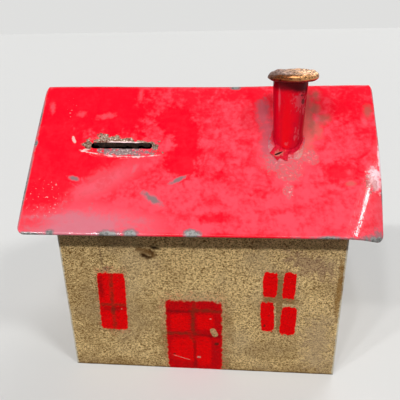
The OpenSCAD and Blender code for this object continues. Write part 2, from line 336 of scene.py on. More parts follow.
# The front wall's painted openings, as (centre, half size, turn) in x and z
LEFT_WINDOW = ((-53.7, 49.6), (8.4, 20.5), -1.2)
RIGHT_PANES = (
    ((40.6, 65.2), (4.1, 8.4), 1.0), ((51.6, 64.6), (3.6, 9.0), -2.0),
    ((39.8, 42.4), (4.0, 10.5), 3.0), ((52.2, 39.8), (4.5, 10.2), -2.0))
RIGHT_BARS = (((46.4, 52.0), (1.9, 20.5), 2.0), ((46.4, 55.0), (10.2, 2.4), -4.0))
DOOR = ((-4.4, 25.4), (17.2, 26.8), 0.2)
DOOR_KNOB = ((7.8, 29.2), (2.0, 3.5), 24.0)
# The brighter fields of the door, and thin lines where red is worn through, as (centre, half size, turn)
DOOR_FIELDS = (
    ((-12.8, 36.0), (5.6, 6.2), -1.0), ((2.6, 37.0), (5.0, 5.4), 0.0), ((-9.6, 15.6), (9.0, 8.6), 0.0),
    ((1.4, 14.5), (4.6, 11.0), 0.0))
WORN_LINES = (
    ((-53.9, 49.0), (1.0, 18.5), -1.5), ((-54.0, 47.6), (8.0, 0.9), 1.0),
    ((-4.8, 39.4), (1.0, 12.2), -3.5), ((-12.4, 27.8), (8.0, 1.0), 2.0), ((4.6, 45.2), (8.6, 1.0), -2.0))
DARK_LINES = (
    ((-12.8, 44.2), (8.8, 0.8), 0.0), ((3.0, 26.8), (6.8, 0.8), -3.0), ((-4.4, 12.0), (0.8, 12.0), 0.0),
    ((-53.6, 44.6), (6.0, 1.4), 3.0), ((-60.0, 60.0), (1.2, 6.0), 0.0))
DOOR_CHIPS = (
    ((-1.9, 9.6), (1.5, 1.1), 0.0), ((5.8, 39.4), (0.7, 0.5), 0.0), ((-48.6, 44.6), (0.6, 0.5), 0.0))
DOOR_SCRATCH = ((-13.3, 9.0), (8.2, 0.3), -18.0)
DARK_CHIPS = (
    ((9.6, 20.6), (1.6, 1.2), 0.0), ((-17.4, 11.6), (1.0, 0.7), 0.0), ((38.4, 36.0), (0.8, 1.2), 0.0))
RED_PAINT = colour(255, 0, 4)
RED_DARK = colour(200, 2, 12)
RED_WORN = colour(124, 48, 26)
RED_DEEP = colour(104, 8, 10)
RED_STRAYED = colour(214, 90, 70)
PINK_CHIP = colour(236, 150, 132)
DARK_CHIP = colour(74, 34, 22)
BAR_BROWN = colour(136, 98, 50)
FOOT_DARK_TINT = colour(74, 52, 30)
# Stains, as (centre, half size, turn, colour, strength): a burnt patch and a drip under the eaves, a
# purple smudge, brown on the left, rust on the right
STAINS = (
    ((-30.4, 84.6), (7.2, 4.0), -24.0, colour(104, 68, 28), 0.85),
    ((-25.0, 87.8), (4.8, 1.5), -8.0, colour(46, 28, 12), 1.0),
    ((-31.6, 82.4), (3.8, 1.3), -14.0, colour(62, 38, 16), 0.95),
    ((-28.0, 85.6), (1.0, 2.6), 30.0, colour(80, 50, 22), 0.7),
    ((-57.8, 82.0), (0.7, 10.0), 3.0, colour(84, 56, 44), 0.55),
    ((-56.0, 72.8), (3.0, 2.0), 0.0, colour(118, 88, 74), 0.6),
    ((64.0, 78.0), (19.0, 8.0), -24.0, colour(140, 104, 88), 0.55),
    ((79.8, 62.0), (2.0, 22.0), 0.0, colour(136, 92, 30), 0.7),
    ((-70.0, 45.0), (14.0, 40.0), 4.0, colour(132, 96, 48), 0.42),
    ((-57.0, 31.0), (9.0, 5.0), 12.0, colour(124, 92, 46), 0.5),
    ((-23.0, 22.0), (6.0, 16.0), 0.0, colour(126, 92, 42), 0.5),
    ((-36.0, 40.0), (18.0, 20.0), 0.0, colour(146, 112, 64), 0.35),
    ((16.0, 34.0), (5.0, 20.0), 0.0, colour(140, 104, 54), 0.4),
    ((44.0, 16.0), (24.0, 7.0), 4.0, colour(124, 90, 40), 0.25),
    ((70.0, 26.0), (10.0, 24.0), 0.0, colour(186, 158, 124), 0.5))

front, front_height = stone_finish("stone_paint_front", "x", HALF_W)
wall_plane = front.flat(front.x, front.z)
ragged = front.noise(3.2, detail=5.0, shift=12.0) - 0.5
for centre, half, turn, tint, strength in STAINS:
    stain = front.step(front.spot(wall_plane, centre, half, turn) + ragged * 2.4, 1.3, 0.3)
    front.lay(stain * strength, tint)
# Darker along the very foot of the wall
foot_darkening = front.step(front.z + ragged * 3.0, 1.8, 0.4)
front.lay(foot_darkening * 0.6, FOOT_DARK_TINT)
bars = front.step(front.panes(wall_plane, RIGHT_BARS) + ragged * 0.5, 1.15, 0.85)
front.lay(bars * 0.7, BAR_BROWN)

# The red of the openings, with wavering edges. A little of it has strayed over the tops of the wrinkles
wobble = (front.noise(2.2, detail=5.0, shift=17.0) - 0.5) * 0.18
openings = [front.pane(wall_plane, *shape, square=14.0) for shape in (LEFT_WINDOW, DOOR)]
openings += [front.pane(wall_plane, *shape, square=6.0) + wobble * 1.4 for shape in RIGHT_PANES]
opening = least(openings)
red = front.step(opening + wobble, 1.03, 0.97)
strayed = front.step(opening + ragged * 0.7, 1.3, 1.0) * front.step(front_height, 0.5, 0.6)
front.lay(strayed * 0.6, RED_STRAYED)
knob = front.step(front.pane(wall_plane, *DOOR_KNOB, square=3.0) + wobble * 2.5, 1.0, 0.88)
chips = front.step(front.spots(wall_plane, DOOR_CHIPS) + ragged, 1.0, 0.7)
scratch = front.step(front.spot(wall_plane, *DOOR_SCRATCH) + ragged * 1.4, 1.0, 0.5)
worn = front.step(front.panes(wall_plane, WORN_LINES) + ragged * 3.4, 1.9, 0.1)
dark = front.step(front.panes(wall_plane, DARK_LINES) + ragged * 3.0, 2.1, 0.1)
specks = front.step(front.spots(wall_plane, DARK_CHIPS) + ragged * 1.4, 1.0, 0.6)
fields = front.step(front.panes(wall_plane, DOOR_FIELDS, square=4.0), 1.3, 0.8)
window = front.step(abs(front.x), 28.0, 30.0)

patchy = front.step(front.noise(5.0, detail=4.0, shift=23.0), 0.38, 0.62)
brightness = (most(fields, window) * 0.75 + 0.1) + patchy * 0.2
red_paint = front.blend(brightness, RED_DARK, RED_PAINT)
red_paint = front.blend(dark * 0.55, red_paint, RED_DEEP)
red_paint = front.blend(worn * 0.66, red_paint, RED_WORN)
red_paint = front.blend(specks * 0.8, red_paint, DARK_CHIP)
red_paint = front.blend(most(chips, scratch), red_paint, PINK_CHIP)
red_paint = front.blend(front.step(front_height, 0.5, 0.3) * 0.35, red_paint, RED_DEEP)
red = red * (1 - knob)
front.lay(red, red_paint)
front.paint(Base_Color=front.coat, Roughness=STONE_ROUGHNESS - red * 0.3)
front.paint(Normal=front.bump(front_height, LONG_WALL_RELIEF))

back, back_height = stone_finish("stone_paint_back", "x", HALF_W)
back.paint(Base_Color=back.coat, Roughness=STONE_ROUGHNESS, Normal=back.bump(back_height, LONG_WALL_RELIEF))


def make_long_wall(name, finish, side):
    """A wall's panel, standing at y = side * HALF_D, with its flange bent in along the top."""
    columns = spread([-HALF_W, -HALF_W + FLANGE_W, HALF_W - FLANGE_W, HALF_W], [WALL_STEP] * 3)
    turn = BEND_R * math.tan((math.pi / 2 - PITCH) / 2)
    profile = [(0.0, z) for z in spread([0.0, EAVES_Z - turn], [WALL_STEP])]
    profile += [
        (turn * math.cos(PITCH) * t * t, EAVES_Z - turn * (1 - t) ** 2 + turn * math.sin(PITCH) * t * t)
        for t in (0.25, 0.5, 0.75, 1.0)]
    panel_rows = len(profile)
    for u in (3.0, 5.5, FLANGE_W):
        profile.append((u * math.cos(PITCH), EAVES_Z + u * math.sin(PITCH)))
    points = []
    for inward, z in profile:
        for x in columns:
            free = ease(z / FOOT_FADE) * ease((EAVES_Z - z) / BEND_FADE)
            bulge = WALL_WAVE * wave(WALL_WAVE_SIZE, x, z, side * 50.0) * free
            worn_rim = 0.5 + 0.5 * wave(RIM_WEAR_SIZE, x, side * 9.0, 0.0)
            worn_rim *= RIM_WEAR * ease(1 - z / WALL_STEP)
            points.append((x, side * (HALF_D - inward + bulge - WALL_WAVE), z + worn_rim))
    faces = grid_faces(len(profile), len(columns), flip=side > 0)
    flange_end = HALF_W - FLANGE_W - FLANGE_END_GAP
    faces = [
        face for face in faces
        if max(face) < panel_rows * len(columns)
        or all(abs(points[i][0]) <= flange_end + WALL_STEP for i in face)]
    wall = make_piece(name + "_sheet", points, faces, [finish], "house", [name])
    thicken(wall, SHEET)
    soften(wall, WALL_EDGE_ROUND)


make_long_wall("front_wall", front, -1)
make_long_wall("back_wall", back, 1)


# ---- Gables ----
# The two end walls: flat pointed sheets between the long walls. Flanges along their upright and
# raking edges are turned in, and lie against the long walls and under the roof.
GABLE_TURN_R = 0.6
GABLE_TURN = (30.0, 60.0, 90.0)
GABLE_FLANGE = (3.5, 7.4)
GABLE_ROWS = 48
GABLE_WAVE_SIZE = 34.0
GABLE_SIDE_FADE = 15.0
GABLE_RELIEF = 1.2
GABLE_EDGE_ROUND = 0.1

gable_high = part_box("right_gable")[1] / MM
GABLE_HALF = gable_high.y
RIDGE_Z = EAVES_Z + HALF_D * math.tan(PITCH) + SHEET / math.cos(PITCH)


def under_roof(y):
    """Height of the roof's underside over y."""
    return RIDGE_Z - SHEET / math.cos(PITCH) - abs(y) * math.tan(PITCH)


gable_coat, gable_height = stone_finish("stone_paint_gable", "y", GABLE_HALF)
gable_coat.paint(Base_Color=gable_coat.coat, Roughness=STONE_ROUGHNESS)
gable_coat.paint(Normal=gable_coat.bump(gable_height, GABLE_RELIEF))


def make_gable(name, side):
    """The panel at x = side * HALF_W, then a turn and a flange along each of its four joined edges."""
    half = GABLE_HALF - GABLE_TURN_R
    columns = spread([-half, 0.0, half], [WALL_STEP] * 2)
    drop = GABLE_TURN_R / math.cos(PITCH)
    points = []
    for row in range(GABLE_ROWS + 1):
        for y in columns:
            z = row / GABLE_ROWS * (min(under_roof(y), gable_high.z) - drop)
            free = ease(z / FOOT_FADE) * ease((half - abs(y)) / GABLE_SIDE_FADE)
            bulge = 2 * WALL_WAVE * wave(GABLE_WAVE_SIZE, y, z, side * 70.0) * free
            points.append((side * (HALF_W - WALL_WAVE + 0.5 * min(bulge, WALL_WAVE)), y, z))
    count = len(columns)
    faces = grid_faces(GABLE_ROWS + 1, count, flip=side < 0)
    top = GABLE_ROWS * count
    middle = count // 2
    rake = Vector((math.sin(PITCH), math.cos(PITCH)))
    edges = (
        ([i * count for i in range(GABLE_ROWS + 1)], Vector((-1.0, 0.0))),
        ([top + j for j in range(middle)], Vector((-rake.x, rake.y))),
        ([top + j for j in range(middle + 1, count)], rake),
        ([i * count + count - 1 for i in reversed(range(GABLE_ROWS + 1))], Vector((1.0, 0.0))))
    turned = [(math.radians(a), 0.0) for a in GABLE_TURN] + [(math.pi / 2, depth) for depth in GABLE_FLANGE]
    for edge, out in edges:
        last = edge
        for angle, depth in turned:
            ring = []
            for i in edge:
                x, y, z = points[i]
                reach = GABLE_TURN_R * math.sin(angle)
                back = GABLE_TURN_R * (1 - math.cos(angle)) + depth
                ring.append(len(points))
                points.append((x - side * back, y + out.x * reach, z + out.y * reach))
            for a, b, c, d in zip(last, last[1:], ring[1:], ring):
                faces.append([a, b, c, d] if side > 0 else [d, c, b, a])
            last = ring
    gable = make_piece(name + "_sheet", points, faces, [gable_coat], "house", [name])
    thicken(gable, SHEET)
    soften(gable, GABLE_EDGE_ROUND)


make_gable("left_gable", -1)
make_gable("right_gable", 1)


# ---- Roof ----
# One sheet, hemmed all round and then bent over the ridge, in glossy red enamel that has chipped
# along the eaves. The coin slot's lips are pressed in, and the front right corner has been bent down.
HEM_R = 0.85
HEM_W = 7.0
FOLD_R = 1.4
FOLD_LEAST_R = 0.45
CORNER_R = 4.6
ROOF_STEP = 2.2
CORNER_STEP = 0.9
FOLD_STEP = 0.6
SLOT_STEP = 0.75
ROOF_EDGE_ROUND = 0.12
# The sheet's unevenness: long and short waves over its face, and a wave along its edges
ROOF_WAVE = 0.3
ROOF_WAVE_SIZE = 34.0
DENT_WAVE = 0.09
DENT_WAVE_SIZE = 9.0
EDGE_WAVE = 0.12
EDGE_WAVE_SIZE = 16.0
SIDE_FADE = 14.0
EAVE_FADE = 12.0
# How the ridge sags about its middle, and lifts towards both ends: (depth, where it starts)
RIDGE_SAG = 0.3
RIDGE_SAG_X = 8.0
RIDGE_SAG_SIZE = (38.0, 26.0)
LEFT_LIFT = (0.5, 15.0)
RIGHT_LIFT = (0.35, 40.0)
LIFT_RUN = 50.0
LIFT_SIZE = 30.0
# How the sheet's outline departs from a true rectangle
LEFT_BOW = 0.7
RIGHT_TRIM = 1.0
EAVE_TRIM = 0.5
EAVE_SKEW = 0.0062
RIDGE_ROUNDING = 1.1
RIDGE_ROUNDING_SIZE = 2.4

roof_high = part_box("roof")[1] / MM
HALF_L = roof_high.x
FLAT_X = HALF_L - HEM_R
FLAT_V = (roof_high.y + HEM_R * (math.sin(PITCH) - 1)) / math.cos(PITCH)
FOLD_V = FOLD_R * math.tan(PITCH)

# The coin slot and its pressed lips, as distances along the house and down the front slope
SLOT_X = (-65.7, -29.2)
SLOT_V = (40.3, 44.3)
SLOT_MIDDLE = sum(SLOT_V) / 2
SLOT_R = (SLOT_V[1] - SLOT_V[0]) / 2
LIP_TOP = 35.0
LIP_CREASE = 50.3
LIP_CREASE_RISE = 3.7
LIP_MIDDLE = -42.0
LIP_SPAN = 28.0
UPPER_PRESS = 0.75
LOWER_PRESS = 0.95
LIP_END = 4.5
LIP_LUMP = 0.16
CREASE_BURR = 0.3
BURR_WIDTH = 0.8
TURNED_EDGE = 3.4
TURNED_END = 0.8
TORN_WAVE = 0.4
TORN_GRIT = 0.25
TORN_REACH = 3.0
TORN_SIZE = 3.5

# The bent corner: a crease from the right edge to the eave, and the slope of what lies beyond it
CREASE_START = Vector((100.0, 55.0))
CREASE_END = Vector((84.8, 97.5))
CREASE_SLOPE = 0.54
CREASE_SOFT = 6.5
CREASE_PULL = 0.09
crease_out = (CREASE_END - CREASE_START).normalized().orthogonal() * -1


def hill(t, middle, width):
    """1 at the middle, and falling smoothly to 0 beyond about twice the width."""
    return math.exp(-((t - middle) / width) ** 2)


def past_crease(x, v):
    """How far a place on the sheet lies beyond the crease, rising softly over the bend."""
    if v <= 0:
        return 0.0
    past = (Vector((x, v)) - CREASE_START).dot(crease_out)
    if past <= -CREASE_SOFT:
        return 0.0
    return past if past >= CREASE_SOFT else (past + CREASE_SOFT) ** 2 / (4 * CREASE_SOFT)


def lip_crease(x):
    """How far down the slope the lower lip's crease lies: it bows down in the middle."""
    return LIP_CREASE - LIP_CREASE_RISE * ((x - LIP_MIDDLE) / LIP_SPAN) ** 2


def lip_depth(x, v):
    """How deep the sheet is pressed in beside the coin slot."""
    if v <= 0:
        return 0.0
    beyond = max(SLOT_X[0] - x, x - SLOT_X[1], 0.0)
    along = ease(1 - beyond / LIP_END)
    crease = lip_crease(x)
    if v < SLOT_MIDDLE:
        depth = UPPER_PRESS * ease((v - LIP_TOP) / (SLOT_V[0] - LIP_TOP))
    else:
        depth = LOWER_PRESS * min(max((crease - v) / (crease - SLOT_V[1]), 0.0), 1.0)
    burr = CREASE_BURR * hill(v, crease, BURR_WIDTH) * (0.8 + 0.6 * wave(3.0, x, 2.0, 7.0))
    return along * (depth - burr) + LIP_LUMP * along * wave(2.2, x, v, 3.0)


def trimmed(x, v):
    """A place on the sheet as it was really cut.

    Its left edge is bowed, its front eave a little askew, and its edges are drawn in over the ridge."""
    if x < 0:
        x *= 1 - LEFT_BOW * (1 - math.sin(math.pi * min(abs(v) / FLAT_V, 1.0))) / HALF_L
    else:
        x *= 1 - RIGHT_TRIM / HALF_L
    x *= 1 - RIDGE_ROUNDING * hill(v, 0.0, RIDGE_ROUNDING_SIZE) / HALF_L
    if v > 0:
        v *= 1 - (EAVE_TRIM + EAVE_SKEW * x) / FLAT_V
    return x, v


def dent_depth(x, v):
    """How far the sheet has been pushed in from its true shape, over its whole face."""
    wavy = ROOF_WAVE * wave(ROOF_WAVE_SIZE, x, v, 11.0) + DENT_WAVE * wave(DENT_WAVE_SIZE, x, v, 5.0)
    inside = ease((HALF_L - abs(x)) / SIDE_FADE) * ease((FLAT_V + HEM_R - abs(v)) / EAVE_FADE)
    edge_wave = EDGE_WAVE * (1 + wave(EDGE_WAVE_SIZE, x, v, 8.0)) * (1 - inside)
    ridge_sag = RIDGE_SAG * hill(x, RIDGE_SAG_X, RIDGE_SAG_SIZE[0]) * hill(v, 0.0, RIDGE_SAG_SIZE[1])
    ends = LEFT_LIFT[0] * ease((-x - LEFT_LIFT[1]) / LIFT_RUN)
    ends += RIGHT_LIFT[0] * ease((x - RIGHT_LIFT[1]) / LIFT_RUN)
    ridge_lift = -ends * hill(v, 0.0, LIFT_SIZE)
    corner = CREASE_SLOPE * past_crease(x, v)
    return wavy * inside + edge_wave + ridge_sag + ridge_lift + corner + lip_depth(x, v)


def on_roof(x, v, depth=0.0):
    """A point of the bent sheet: x along the house, v down the front slope or, below 0, the back one."""
    x, v = trimmed(x, v)
    pull = CREASE_PULL * past_crease(x, v)
    depth += dent_depth(x, v)
    x -= pull * crease_out.x
    v -= pull * crease_out.y
    side = -1.0 if v > 0 else 1.0
    if abs(v) < FOLD_V:
        angle = PITCH * v / FOLD_V
        radius = max(FOLD_R - depth, FOLD_LEAST_R)
        middle = RIDGE_Z - FOLD_R / math.cos(PITCH)
        return Vector((x, -radius * math.sin(angle), middle + radius * math.cos(angle)))
    y = side * (abs(v) * math.cos(PITCH) - depth * math.sin(PITCH))
    return Vector((x, y, RIDGE_Z - abs(v) * math.sin(PITCH) - depth * math.cos(PITCH)))


def into_disc(p, q):
    """Moves a place in the unit square into the unit disc."""
    return p * math.sqrt(1 - q * q / 2), q * math.sqrt(1 - p * p / 2)


def rounded_place(x, v):
    """A grid place of the flat sheet, with the sheet's corners and the slot's ends rounded."""
    radius = CORNER_R - HEM_R
    p, q = (abs(x) - FLAT_X + radius) / radius, (abs(v) - FLAT_V + radius) / radius
    if p > 0 and q > 0:
        p, q = into_disc(min(p, 1.0), min(q, 1.0))
        return math.copysign(FLAT_X - radius + radius * p, x), math.copysign(FLAT_V - radius + radius * q, v)
    beside = SLOT_X[0] - TORN_REACH < x < SLOT_X[1] + TORN_REACH
    near_slot = hill(v, SLOT_MIDDLE, TORN_SIZE) if beside else 0.0
    torn = near_slot * (TORN_WAVE * wave(3.4, x, v, 20.0) + TORN_GRIT * wave(1.3, x, v, 23.0))
    if SLOT_V[0] <= v <= SLOT_V[1]:
        for end, way in ((SLOT_X[0], -1), (SLOT_X[1], 1)):
            p = way * (x - end) / SLOT_R + 1
            if 0 < p <= 1.0001:
                p, q = into_disc(min(p, 1.0), (v - SLOT_MIDDLE) / SLOT_R)
                return end + way * SLOT_R * (p - 1), SLOT_MIDDLE + SLOT_R * q + torn
    return x, v + torn


def outward(x, v):
    """Direction out over the flat sheet's rim at a place on it."""
    radius = CORNER_R - HEM_R
    p, q = max(abs(x) - FLAT_X + radius, 0.0), max(abs(v) - FLAT_V + radius, 0.0)
    if p > 0 and q > 0:
        out = Vector((p, q)).normalized()
    else:
        out = Vector((1.0, 0.0)) if p > q else Vector((0.0, 1.0))
    return Vector((math.copysign(out.x, x), math.copysign(out.y, v))), p > 0 and q > 0


# The grid: x and v between these marks, in steps of about these sizes
corner_cell = CORNER_R - HEM_R
x_lines = spread(
    [-FLAT_X, corner_cell - FLAT_X, SLOT_X[0] - 6, SLOT_X[0], SLOT_X[0] + SLOT_R,
     SLOT_X[1] - SLOT_R, SLOT_X[1], SLOT_X[1] + 6, FLAT_X - corner_cell, FLAT_X],
    [CORNER_STEP, ROOF_STEP, SLOT_STEP, SLOT_STEP, 1.5, SLOT_STEP, SLOT_STEP, ROOF_STEP, CORNER_STEP])
v_lines = spread(
    [-FLAT_V, corner_cell - FLAT_V, -FOLD_V, FOLD_V, LIP_TOP - 1, SLOT_V[0], SLOT_V[1], LIP_CREASE + 2,
     FLAT_V - corner_cell, FLAT_V],
    [CORNER_STEP, ROOF_STEP, FOLD_STEP, ROOF_STEP, 0.6, 0.6, 0.4, ROOF_STEP, CORNER_STEP])
flat_places = [rounded_place(x, v) for x in x_lines for v in v_lines]
roof_points = [on_roof(x, v) for x, v in flat_places]
columns = len(v_lines)


def in_slot(face):
    """Whether a face of the grid lies where the slot has been cut."""
    i, j = divmod(min(face), columns)
    x, v = (x_lines[i] + x_lines[i + 1]) / 2, (v_lines[j] + v_lines[j + 1]) / 2
    return SLOT_X[0] < x < SLOT_X[1] and SLOT_V[0] < v < SLOT_V[1]


roof_faces = [face for face in grid_faces(len(x_lines), columns) if not in_slot(face)]
last_row = (len(x_lines) - 1) * columns
rim = list(range(columns)) + [i * columns + columns - 1 for i in range(1, len(x_lines))]
rim += [last_row + j for j in reversed(range(columns - 1))]
rim += [i * columns for i in reversed(range(1, len(x_lines) - 1))]
# The hem, as (reach over the rim, depth): half a turn, and then flat under the sheet
half_turn = [math.radians(a) for a in range(30, 181, 30)]
hem = [(HEM_R * math.sin(a), HEM_R * (1 - math.cos(a))) for a in half_turn]
hem += [(-(HEM_W - HEM_R) * t, 2 * HEM_R) for t in (0.25, 0.5, 0.75, 1.0)]
last = rim
for reach, depth in hem:
    ring = []
    for i in rim:
        x, v = flat_places[i]
        out, at_corner = outward(x, v)
        far = max(reach, -0.6 * corner_cell) if at_corner else reach
        ring.append(len(roof_points))
        roof_points.append(on_roof(x + out.x * far, v + out.y * far, depth))
    for a in range(len(rim)):
        b = (a + 1) % len(rim)
        roof_faces.append([last[a], ring[a], ring[b], last[b]])
    last = ring

# The chisel that cut the slot turned its upper edge in: a ragged strip that hangs inside the lip
first_turned = len(roof_faces)
lip_row = min(range(columns), key=lambda j: abs(v_lines[j] - SLOT_V[0]))
lip_span = SLOT_X[0] + TURNED_END, SLOT_X[1] - TURNED_END
lip = [i * columns + lip_row for i, x in enumerate(x_lines) if lip_span[0] <= x <= lip_span[1]]
turned = len(roof_points)
for i in lip:
    x, v = flat_places[i]
    hang = TURNED_EDGE * (0.75 + 0.45 * wave(2.6, x, v, 31.0))
    roof_points.append(roof_points[i] + Vector((0.0, 0.25, -hang)))
roof_faces += [[lip[k], turned + k, turned + k + 1, lip[k + 1]] for k in range(len(lip) - 1)]

# Chips and scars of the enamel, as (centre, half size, turn) in x and v: the eaves, the edges, the face
EAVE_CHIPS = (
    ((-81.2, 97.5), (2.4, 1.7), -8.0), ((-48.0, 97.7), (5.6, 2.3), 0.0), ((-36.0, 97.0), (3.9, 2.3), 4.0),
    ((-2.6, 96.6), (4.4, 2.6), 0.0), ((52.0, 98.6), (4.4, 1.4), 0.0), ((69.5, 98.0), (9.5, 1.6), 0.0),
    ((84.0, 97.8), (5.0, 1.4), 0.0), ((89.5, 95.8), (4.6, 2.4), -24.0), ((93.6, 93.6), (4.6, 3.0), -28.0),
    ((97.6, 91.0), (3.6, 4.4), -28.0))
EDGE_CHIPS = (
    ((-93.6, 98.4), (9.0, 1.3), 0.0), ((-99.4, 41.5), (0.9, 2.2), 0.0), ((18.8, 1.0), (3.0, 1.5), 0.0),
    ((-100.0, 70.0), (0.6, 16.0), 0.0), ((-99.8, 22.0), (0.5, 8.0), 0.0), ((99.4, 69.5), (0.8, 5.0), 0.0),
    ((99.4, 88.0), (0.9, 5.0), 0.0))
SCARS = (
    ((-26.0, 76.6), (7.2, 2.3), 33.0), ((-12.6, 64.6), (5.4, 1.3), -30.0), ((-72.6, 64.4), (3.4, 1.4), 14.0))
FAINT_SCARS = (
    ((-93.6, 16.1), (1.7, 4.0), -10.0), ((-74.4, 21.3), (3.1, 1.9), 0.0), ((-58.6, 22.7), (5.4, 2.0), -12.0),
    ((-39.3, 6.6), (1.6, 5.0), 4.0), ((-37.6, 57.4), (1.2, 3.4), 30.0), ((82.0, 59.0), (2.2, 1.8), 0.0),
    ((66.5, 24.0), (1.8, 3.4), 0.0), ((93.0, 26.0), (1.6, 3.4), -10.0))
PALE_SCARS = (
    ((-76.5, 38.9), (1.0, 2.8), -24.0), ((-68.4, 45.6), (2.6, 0.9), -30.0),
    ((-27.2, 43.4), (0.7, 2.6), -37.0))
# What coins have rubbed: a strip along each lip, and peaks and patches round the slot
UPPER_STRIP = ((-54.2, 39.0), (10.6, 1.8), 0.0)
LOWER_STRIP = ((-45.4, 46.0), (16.5, 3.0), 0.0)
LIP_WEAR = (
    ((-58.8, 37.6), (3.2, 2.6), 0.0), ((-50.4, 38.0), (3.0, 2.2), 0.0), ((-44.4, 38.6), (4.6, 1.8), 0.0),
    ((-35.0, 39.4), (8.0, 1.1), 0.0), ((-67.6, 41.6), (3.0, 2.4), 0.0), ((-27.4, 42.6), (1.8, 3.6), -20.0))
SCRAPE = ((92.8, 65.0), (3.6, 5.4), 14.0)
# Where the painted highlight lies on the bent corner and along its right edge
CORNER_HIGHLIGHT_SPOT = ((95.4, 61.5), (4.4, 7.0), 4.0)
EDGE_HIGHLIGHT_LINE = ((99.4, 52.0), (1.2, 13.0), 0.0)
DEEP_BLOCK = ((-68.6, 12.0), (30.4, 22.5), 0.0)
DEEP_RED = (
    ((-89.0, 52.0), (17.0, 40.0), 0.0), ((-68.0, 52.0), (20.0, 13.0), 0.0),
    ((-17.2, 24.2), (10.0, 8.6), 0.0), ((-9.4, 36.0), (7.4, 9.0), 0.0), ((-10.4, 52.0), (8.6, 10.4), 0.0),
    ((51.5, 62.0), (2.2, 1.2), 0.0))
DUSKY_RED = (
    ((12.8, 61.3), (5.6, 3.1), 0.0), ((7.6, 87.2), (8.6, 2.9), -6.0), ((27.7, 8.5), (2.4, 3.6), 0.0),
    ((83.6, 15.9), (9.6, 10.0), 0.0), ((78.7, 58.7), (11.4, 8.0), 0.0), ((24.0, 97.2), (26.0, 1.4), 0.0),
    ((-6.0, 97.4), (20.0, 1.3), 0.0))
# A grey bloom over the eave on the left: a duller finish, partly painted reflection on the gloss
GREY_BLOOM_AND_SHEEN = (((-62.0, 93.0), (33.0, 10.0), 0.0), ((-76.0, 96.0), (20.0, 6.0), 0.0))
GREY_STREAK = (((-55.0, 66.0), (22.0, 6.5), -32.0),)
# Soft pale fields, where the red is paler than around them: partly faded, partly painted reflection on the
# gloss
PALE_FIELDS = (((70.0, 32.0), (16.0, 27.0), 0.0), ((17.0, 27.0), (14.0, 18.0), 0.0))
# Grey and brown stains beside the chimney, darkened in part as painted shadow of the chimney on the roof,
# and the rough patches below it
GREY_STAINS_AND_SHADOW = (
    ((35.6, 20.0), (3.6, 8.0), 0.0), ((38.6, 33.0), (4.8, 9.0), 0.0), ((37.6, 44.0), (4.6, 7.0), 0.0),
    ((41.0, 52.0), (3.6, 5.0), 0.0))
BROWN_STAINS_AND_SHADOW = (
    ((60.6, 22.0), (3.4, 16.0), 0.0), ((60.0, 38.0), (3.8, 9.0), 6.0), ((65.0, 30.0), (3.0, 6.0), -20.0),
    ((82.4, 65.6), (2.4, 1.8), 0.0))
OLIVE_STAINS = (
    ((66.0, 17.6), (2.4, 3.0), 0.0), ((69.4, 24.6), (3.6, 2.8), -30.0), ((66.6, 7.6), (2.2, 3.0), 0.0),
    ((63.4, 27.0), (1.8, 6.0), 0.0), ((95.6, 20.0), (2.0, 4.0), 0.0))
ROUGH_PATCHES = (
    ((47.0, 53.0), (13.0, 8.0), 0.0), ((60.6, 49.4), (5.0, 5.0), -10.0), ((49.0, 61.0), (7.0, 4.4), 0.0),
    ((48.5, 69.8), (2.6, 5.4), 0.0))
SALT = (((-88.0, 77.0), (11.0, 11.0)), ((48.5, 69.8), (3.4, 6.0)), ((-82.0, 17.0), (3.0, 7.0)))

ENAMEL_DEEP = colour(250, 0, 34)
ENAMEL_MID = colour(250, 22, 46)
ENAMEL_FADED_SHEEN = colour(250, 78, 95)
BLOOM_AND_SHEEN_TINT = colour(206, 122, 136)
GRIME_AND_SHADE_TINT = colour(172, 96, 108)
ENAMEL_BROWN = colour(206, 108, 100)
ENAMEL_OLIVE = colour(166, 96, 84)
SCAR_EDGE = colour(206, 104, 116)
SCAR_GREY = colour(130, 116, 116)
CURD_PINK = colour(230, 92, 106)
CURD_GREY = colour(194, 118, 120)
CURD_PALE = colour(232, 190, 176)
CURD_KHAKI = colour(204, 152, 132)
LIP_DARK = colour(52, 38, 30)
LIP_BROWN = colour(86, 78, 60)
LIP_GREY = colour(120, 122, 104)
LIP_ASH = colour(150, 142, 148)
LIP_FLUSH = colour(226, 66, 92)
LIP_PALE = colour(232, 216, 208)
CHIP_GREY = colour(148, 146, 144)
CHIP_DARK = colour(106, 106, 104)
CHIP_MAUVE = colour(160, 112, 118)
RIM_MAUVE = colour(168, 118, 122)
SPECK_PINK = colour(252, 180, 182)
LIP_HIGHLIGHT = colour(250, 214, 214)
CORNER_HIGHLIGHT = colour(254, 226, 234)
RUST_DARK = colour(24, 14, 10)
RUST_LIGHT = colour(54, 36, 26)
ENAMEL_IOR = 1.17
LACQUER_IOR = 1.5
LACQUER_ROUGHNESS = 0.12
ENAMEL_RELIEF = 0.18

enamel = Finish("roof_enamel")
down_slope = enamel.y * (-1 / math.cos(PITCH))
roof_plane = enamel.flat(enamel.x, down_slope)
cloud = enamel.noise(34.0, detail=6.0, shift=2.0, twist=0.6) - 0.5
mottle = enamel.noise(8.0, detail=7.0, shift=41.0, twist=0.9) - 0.5
fleck = enamel.noise(2.2, detail=5.0, shift=9.0) - 0.5
brushed = enamel.noise(6.0, detail=5.0, shift=14.0, stretch=(0.3, 1.0, 1.0)) - 0.5


def near(shapes, raggedness, start, end):
    """1 inside any of the shapes and 0 outside, with ragged edges."""
    return enamel.step(enamel.spots(roof_plane, shapes) + raggedness, start, end)
